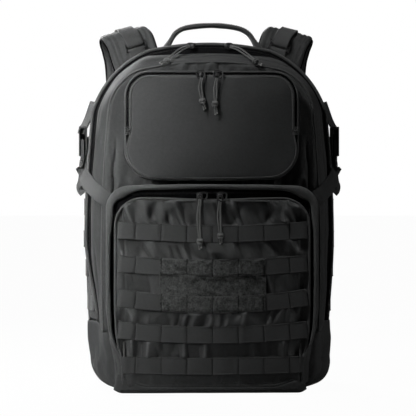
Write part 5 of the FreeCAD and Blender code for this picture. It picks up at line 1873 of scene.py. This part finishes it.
def make_side(side, name):
    rows = Piece()
    tacks = Piece()
    for height in SIDE_ROWS:
        y = np.linspace(ZIP + 7, BACK - 4, 60)
        to_tack = np.abs(((y - ZIP - SIDE_TACKS[0]) / SIDE_TACK_PITCH + 0.5) % 1 - 0.5) * SIDE_TACK_PITCH
        lift = 0.8 + 2.4 * smooth(to_tack / 4)
        half = side_surface(side, y, np.full(60, height)) + lift
        path = np.column_stack([side * half, y, np.full(60, height)])
        rows.tube(path, strap_section(WEBBING, 1.6), (side, 0, 0))
        for at in [ZIP + tack for tack in SIDE_TACKS]:
            base = float(side_surface(side, np.array(at), np.array(height))) + 1.9
            for step in np.linspace(-WEBBING / 2 + 1, WEBBING / 2 - 1, 15):
                tacks.bead((side * base, at, height + step), (0, 1, 0.2), (side, 0, 0), 2.4, 1.5, 1.0)
    middle = box_middle("side_socket_" + name, "y")
    tab = [
        (side * x, middle, z)
        for x, z in ((180, 441), (184.5, 428), (189, 415), (194, 404), (198, 397.5), (199.5, 391))
    ]
    rows.tube(catmull(tab, 6), strap_section(WEBBING, 2.2), (side, -0.5, 0.4))
    rows.make("side_webbing_" + name + "_rows", TAPE, "root", "webbing", ("side_webbing_" + name,))
    tacks.make("side_bar_tacks_" + name, THREAD, "root")

    # From the door's seam round the gusset to the buckle's tongue, and back down as a free tail.
    run = [
        (side * 148.0, FRONT - 8.0, 280),
        (side * 157.0, FRONT - 8.5, 287.5),
        (side * 166.5, FRONT - 5.0, 294.5),
        (side * 174.5, FRONT + 9, 301),
        (side * 182.0, FRONT + 27, 308),
        (side * 189.0, FRONT + 47, 316),
        (side * 194.5, FRONT + 66, 325),
        (side * 195.5, FRONT + 84, 335),
        (side * 196.0, middle, 345),
        (side * 196.2, middle + 1, 354),
    ]
    path = catmull(run, 7)
    across = np.column_stack([np.full(len(path), -side * 0.42), np.full(len(path), -0.3), np.ones(len(path))])
    share = np.linspace(0, 1, len(path))
    tilt = smooth((share - 0.6) / 0.4)[:, None]
    across = across * (1 - tilt) + np.array([0, 1.0, 0.12]) * tilt
    along = unit(np.gradient(path, axis=0))
    out = unit(np.cross(unit(across), along))
    section = np.array(strap_section(WEBBING, 1.8))
    crossed = np.cross(along, out)
    strap = Piece().grid(
        path[:, None] + section[:, :1] * crossed[:, None] + section[:, 1:] * out[:, None],
        around=True,
        caps=True,
    )
    for width, facing, keys in (
        (WEBBING - 1, -0.3, ((190.5, 386), (189, 374), (189.5, 360), (192.5, 350), (195, 346))),
        (WEBBING, -0.6, ((194, 352), (195.8, 345), (196.3, 334), (197.2, 322), (199, 312))),
        (WEBBING, -0.6, ((199.2, 313), (200.3, 308.5), (198.6, 306.5), (197.2, 311), (196.4, 318))),
    ):
        line = catmull([(side * x, middle, z) for x, z in keys], 6)
        strap.tube(line, strap_section(width, 2.2), (side, facing, 0.1))
    webbing = strap.make(
        "compression_webbing_" + name, TAPE, "front_door", "webbing", ("compression_strap_" + name,)
    )
    # The loop at the tongue's bar is 75 mm above the anchor and drops the tongue's whole 30 mm.
    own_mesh(webbing)
    stitch = Piece()
    for at in (0.03, 0.055):
        index = int(at * len(path))
        line = path[index] + crossed[index] * np.linspace(-11, 11, 10)[:, None] + out[index] * 1.1 * side
        stitch.seam(line, out[index], pitch=2.6, length=2.1)
    stitch.make("compression_stitching_" + name, THREAD, "front_door")


# ---- Camera, light and floor


def aimed(item, place, target):
    item.location = place
    item.rotation_mode = "QUATERNION"
    item.rotation_quaternion = (Vector(target) - item.location).to_track_quat("-Z", "Y")


def make_studio():
    camera = linked("camera", bpy.data.cameras.new("camera"))
    camera.data.lens = 148.7
    camera.data.sensor_width = 36
    aimed(camera, (-0.099, -2.65, 0.275), (-0.0067, -0.100, 0.275))
    bpy.context.scene.camera = camera
    for name, place, target, size, power, spread in (
        ("key_light", (-0.92, -1.26, 0.85), (-0.27, 0, 0.34), (0.12, 0.6), 1.25, 25),
        ("side_light", (-1.5, -0.45, 0.75), (0, -0.05, 0.3), (0.2, 0.2), 0.42, 180),
        ("front_light", (-0.9, -2.3, 1.6), (0, 0, 0.3), (0.8, 0.8), 0.15, 180),
        ("top_light", (-0.5, -0.46, 1.3), (-0.03, 0, 0.3), (0.14, 0.14), 6.2, 180),
        ("rear_light", (-0.7, 2.1, 1.2), (0, 0.1, 0.33), (1.0, 1.0), 5.5, 60),
        ("right_light", (2.0, -0.3, 0.8), (0.19, 0.03, 0.3), (0.6, 0.6), 0.4, 60),
    ):
        light = bpy.data.lights.new(name, "AREA")
        light.shape = "RECTANGLE"
        light.size, light.size_y = size
        light.energy = power
        light.spread = math.radians(spread)
        aimed(linked(name, light), place, target)
    world = bpy.data.worlds.new("studio")
    bpy.context.scene.world = world
    world.use_nodes = True
    nodes, links = world.node_tree.nodes, world.node_tree.links
    background = nodes["Background"]
    rays = nodes.new("ShaderNodeLightPath")
    level = nodes.new("ShaderNodeMapRange")
    level.inputs["To Min"].default_value = 0.009
    level.inputs["To Max"].default_value = 1.0
    links.new(rays.outputs["Is Camera Ray"], level.inputs["Value"])
    background.inputs["Color"].default_value = (1, 1, 1, 1)
    links.new(level.outputs[0], background.inputs["Strength"])
    bpy.context.scene.view_settings.view_transform = "Standard"
    make_floor()


def make_floor():
    shader = Shader("studio_floor")
    rays = shader.node("ShaderNodeLightPath").outputs["Is Camera Ray"]
    shader.surface.inputs["Base Color"].default_value = (0.22, 0.22, 0.22, 1)
    shader.surface.inputs["Roughness"].default_value = 0.9
    glow = shader.node("ShaderNodeEmission", {"Strength": 1.05})
    share = shader.math("MULTIPLY", rays, 0.93)
    mix = shader.node("ShaderNodeMixShader", {0: share, 1: shader.surface.outputs[0], 2: glow.outputs[0]})
    output = shader.tree.nodes["Material Output"]
    shader.tree.links.new(mix.outputs[0], output.inputs["Surface"])
    size = 60.0
    mesh = bpy.data.meshes.new("studio_floor")
    mesh.from_pydata(
        [(-size, -size, 0), (size, -size, 0), (size, size, 0), (-size, size, 0)], [], [(0, 1, 2, 3)]
    )
    mesh.materials.append(shader.material)
    floor = linked("studio_floor", mesh)


make_rear_gusset()
make_back_panel()
make_piping()
make_main_zip()
make_boot()
make_front_gusset()
make_front_panel()
make_upper_pocket()
make_organizer_shell()
make_organizer_cloth()
make_rows()
make_loops()
make_bottom_band()
for side, name in ((-1, "left"), (1, "right")):
    make_shoulder_strap(side, name)
    make_side(side, name)
    make_strap_ends(side, name)
make_back_pads()
make_yoke()
make_inside()
make_sternum()
make_handle()
make_zip_pulls()
make_studio()

def finish_nodes():
    """Materials and softened edges for the CAD nodes that keep their own shape."""
    for name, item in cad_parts.items():
        if item.hide_render:
            continue
        item.data.materials.clear()
        item.data.materials.append(SHEET if name == "frame_sheet" else PLASTIC)
        item.modifiers.new("weld", "WELD").merge_threshold = 0.00002
        edges = item.modifiers.new("edges", "BEVEL")
        edges.width = 0.0007
        edges.segments = 2
        edges.limit_method = "ANGLE"
        edges.angle_limit = math.radians(40)


finish_nodes()
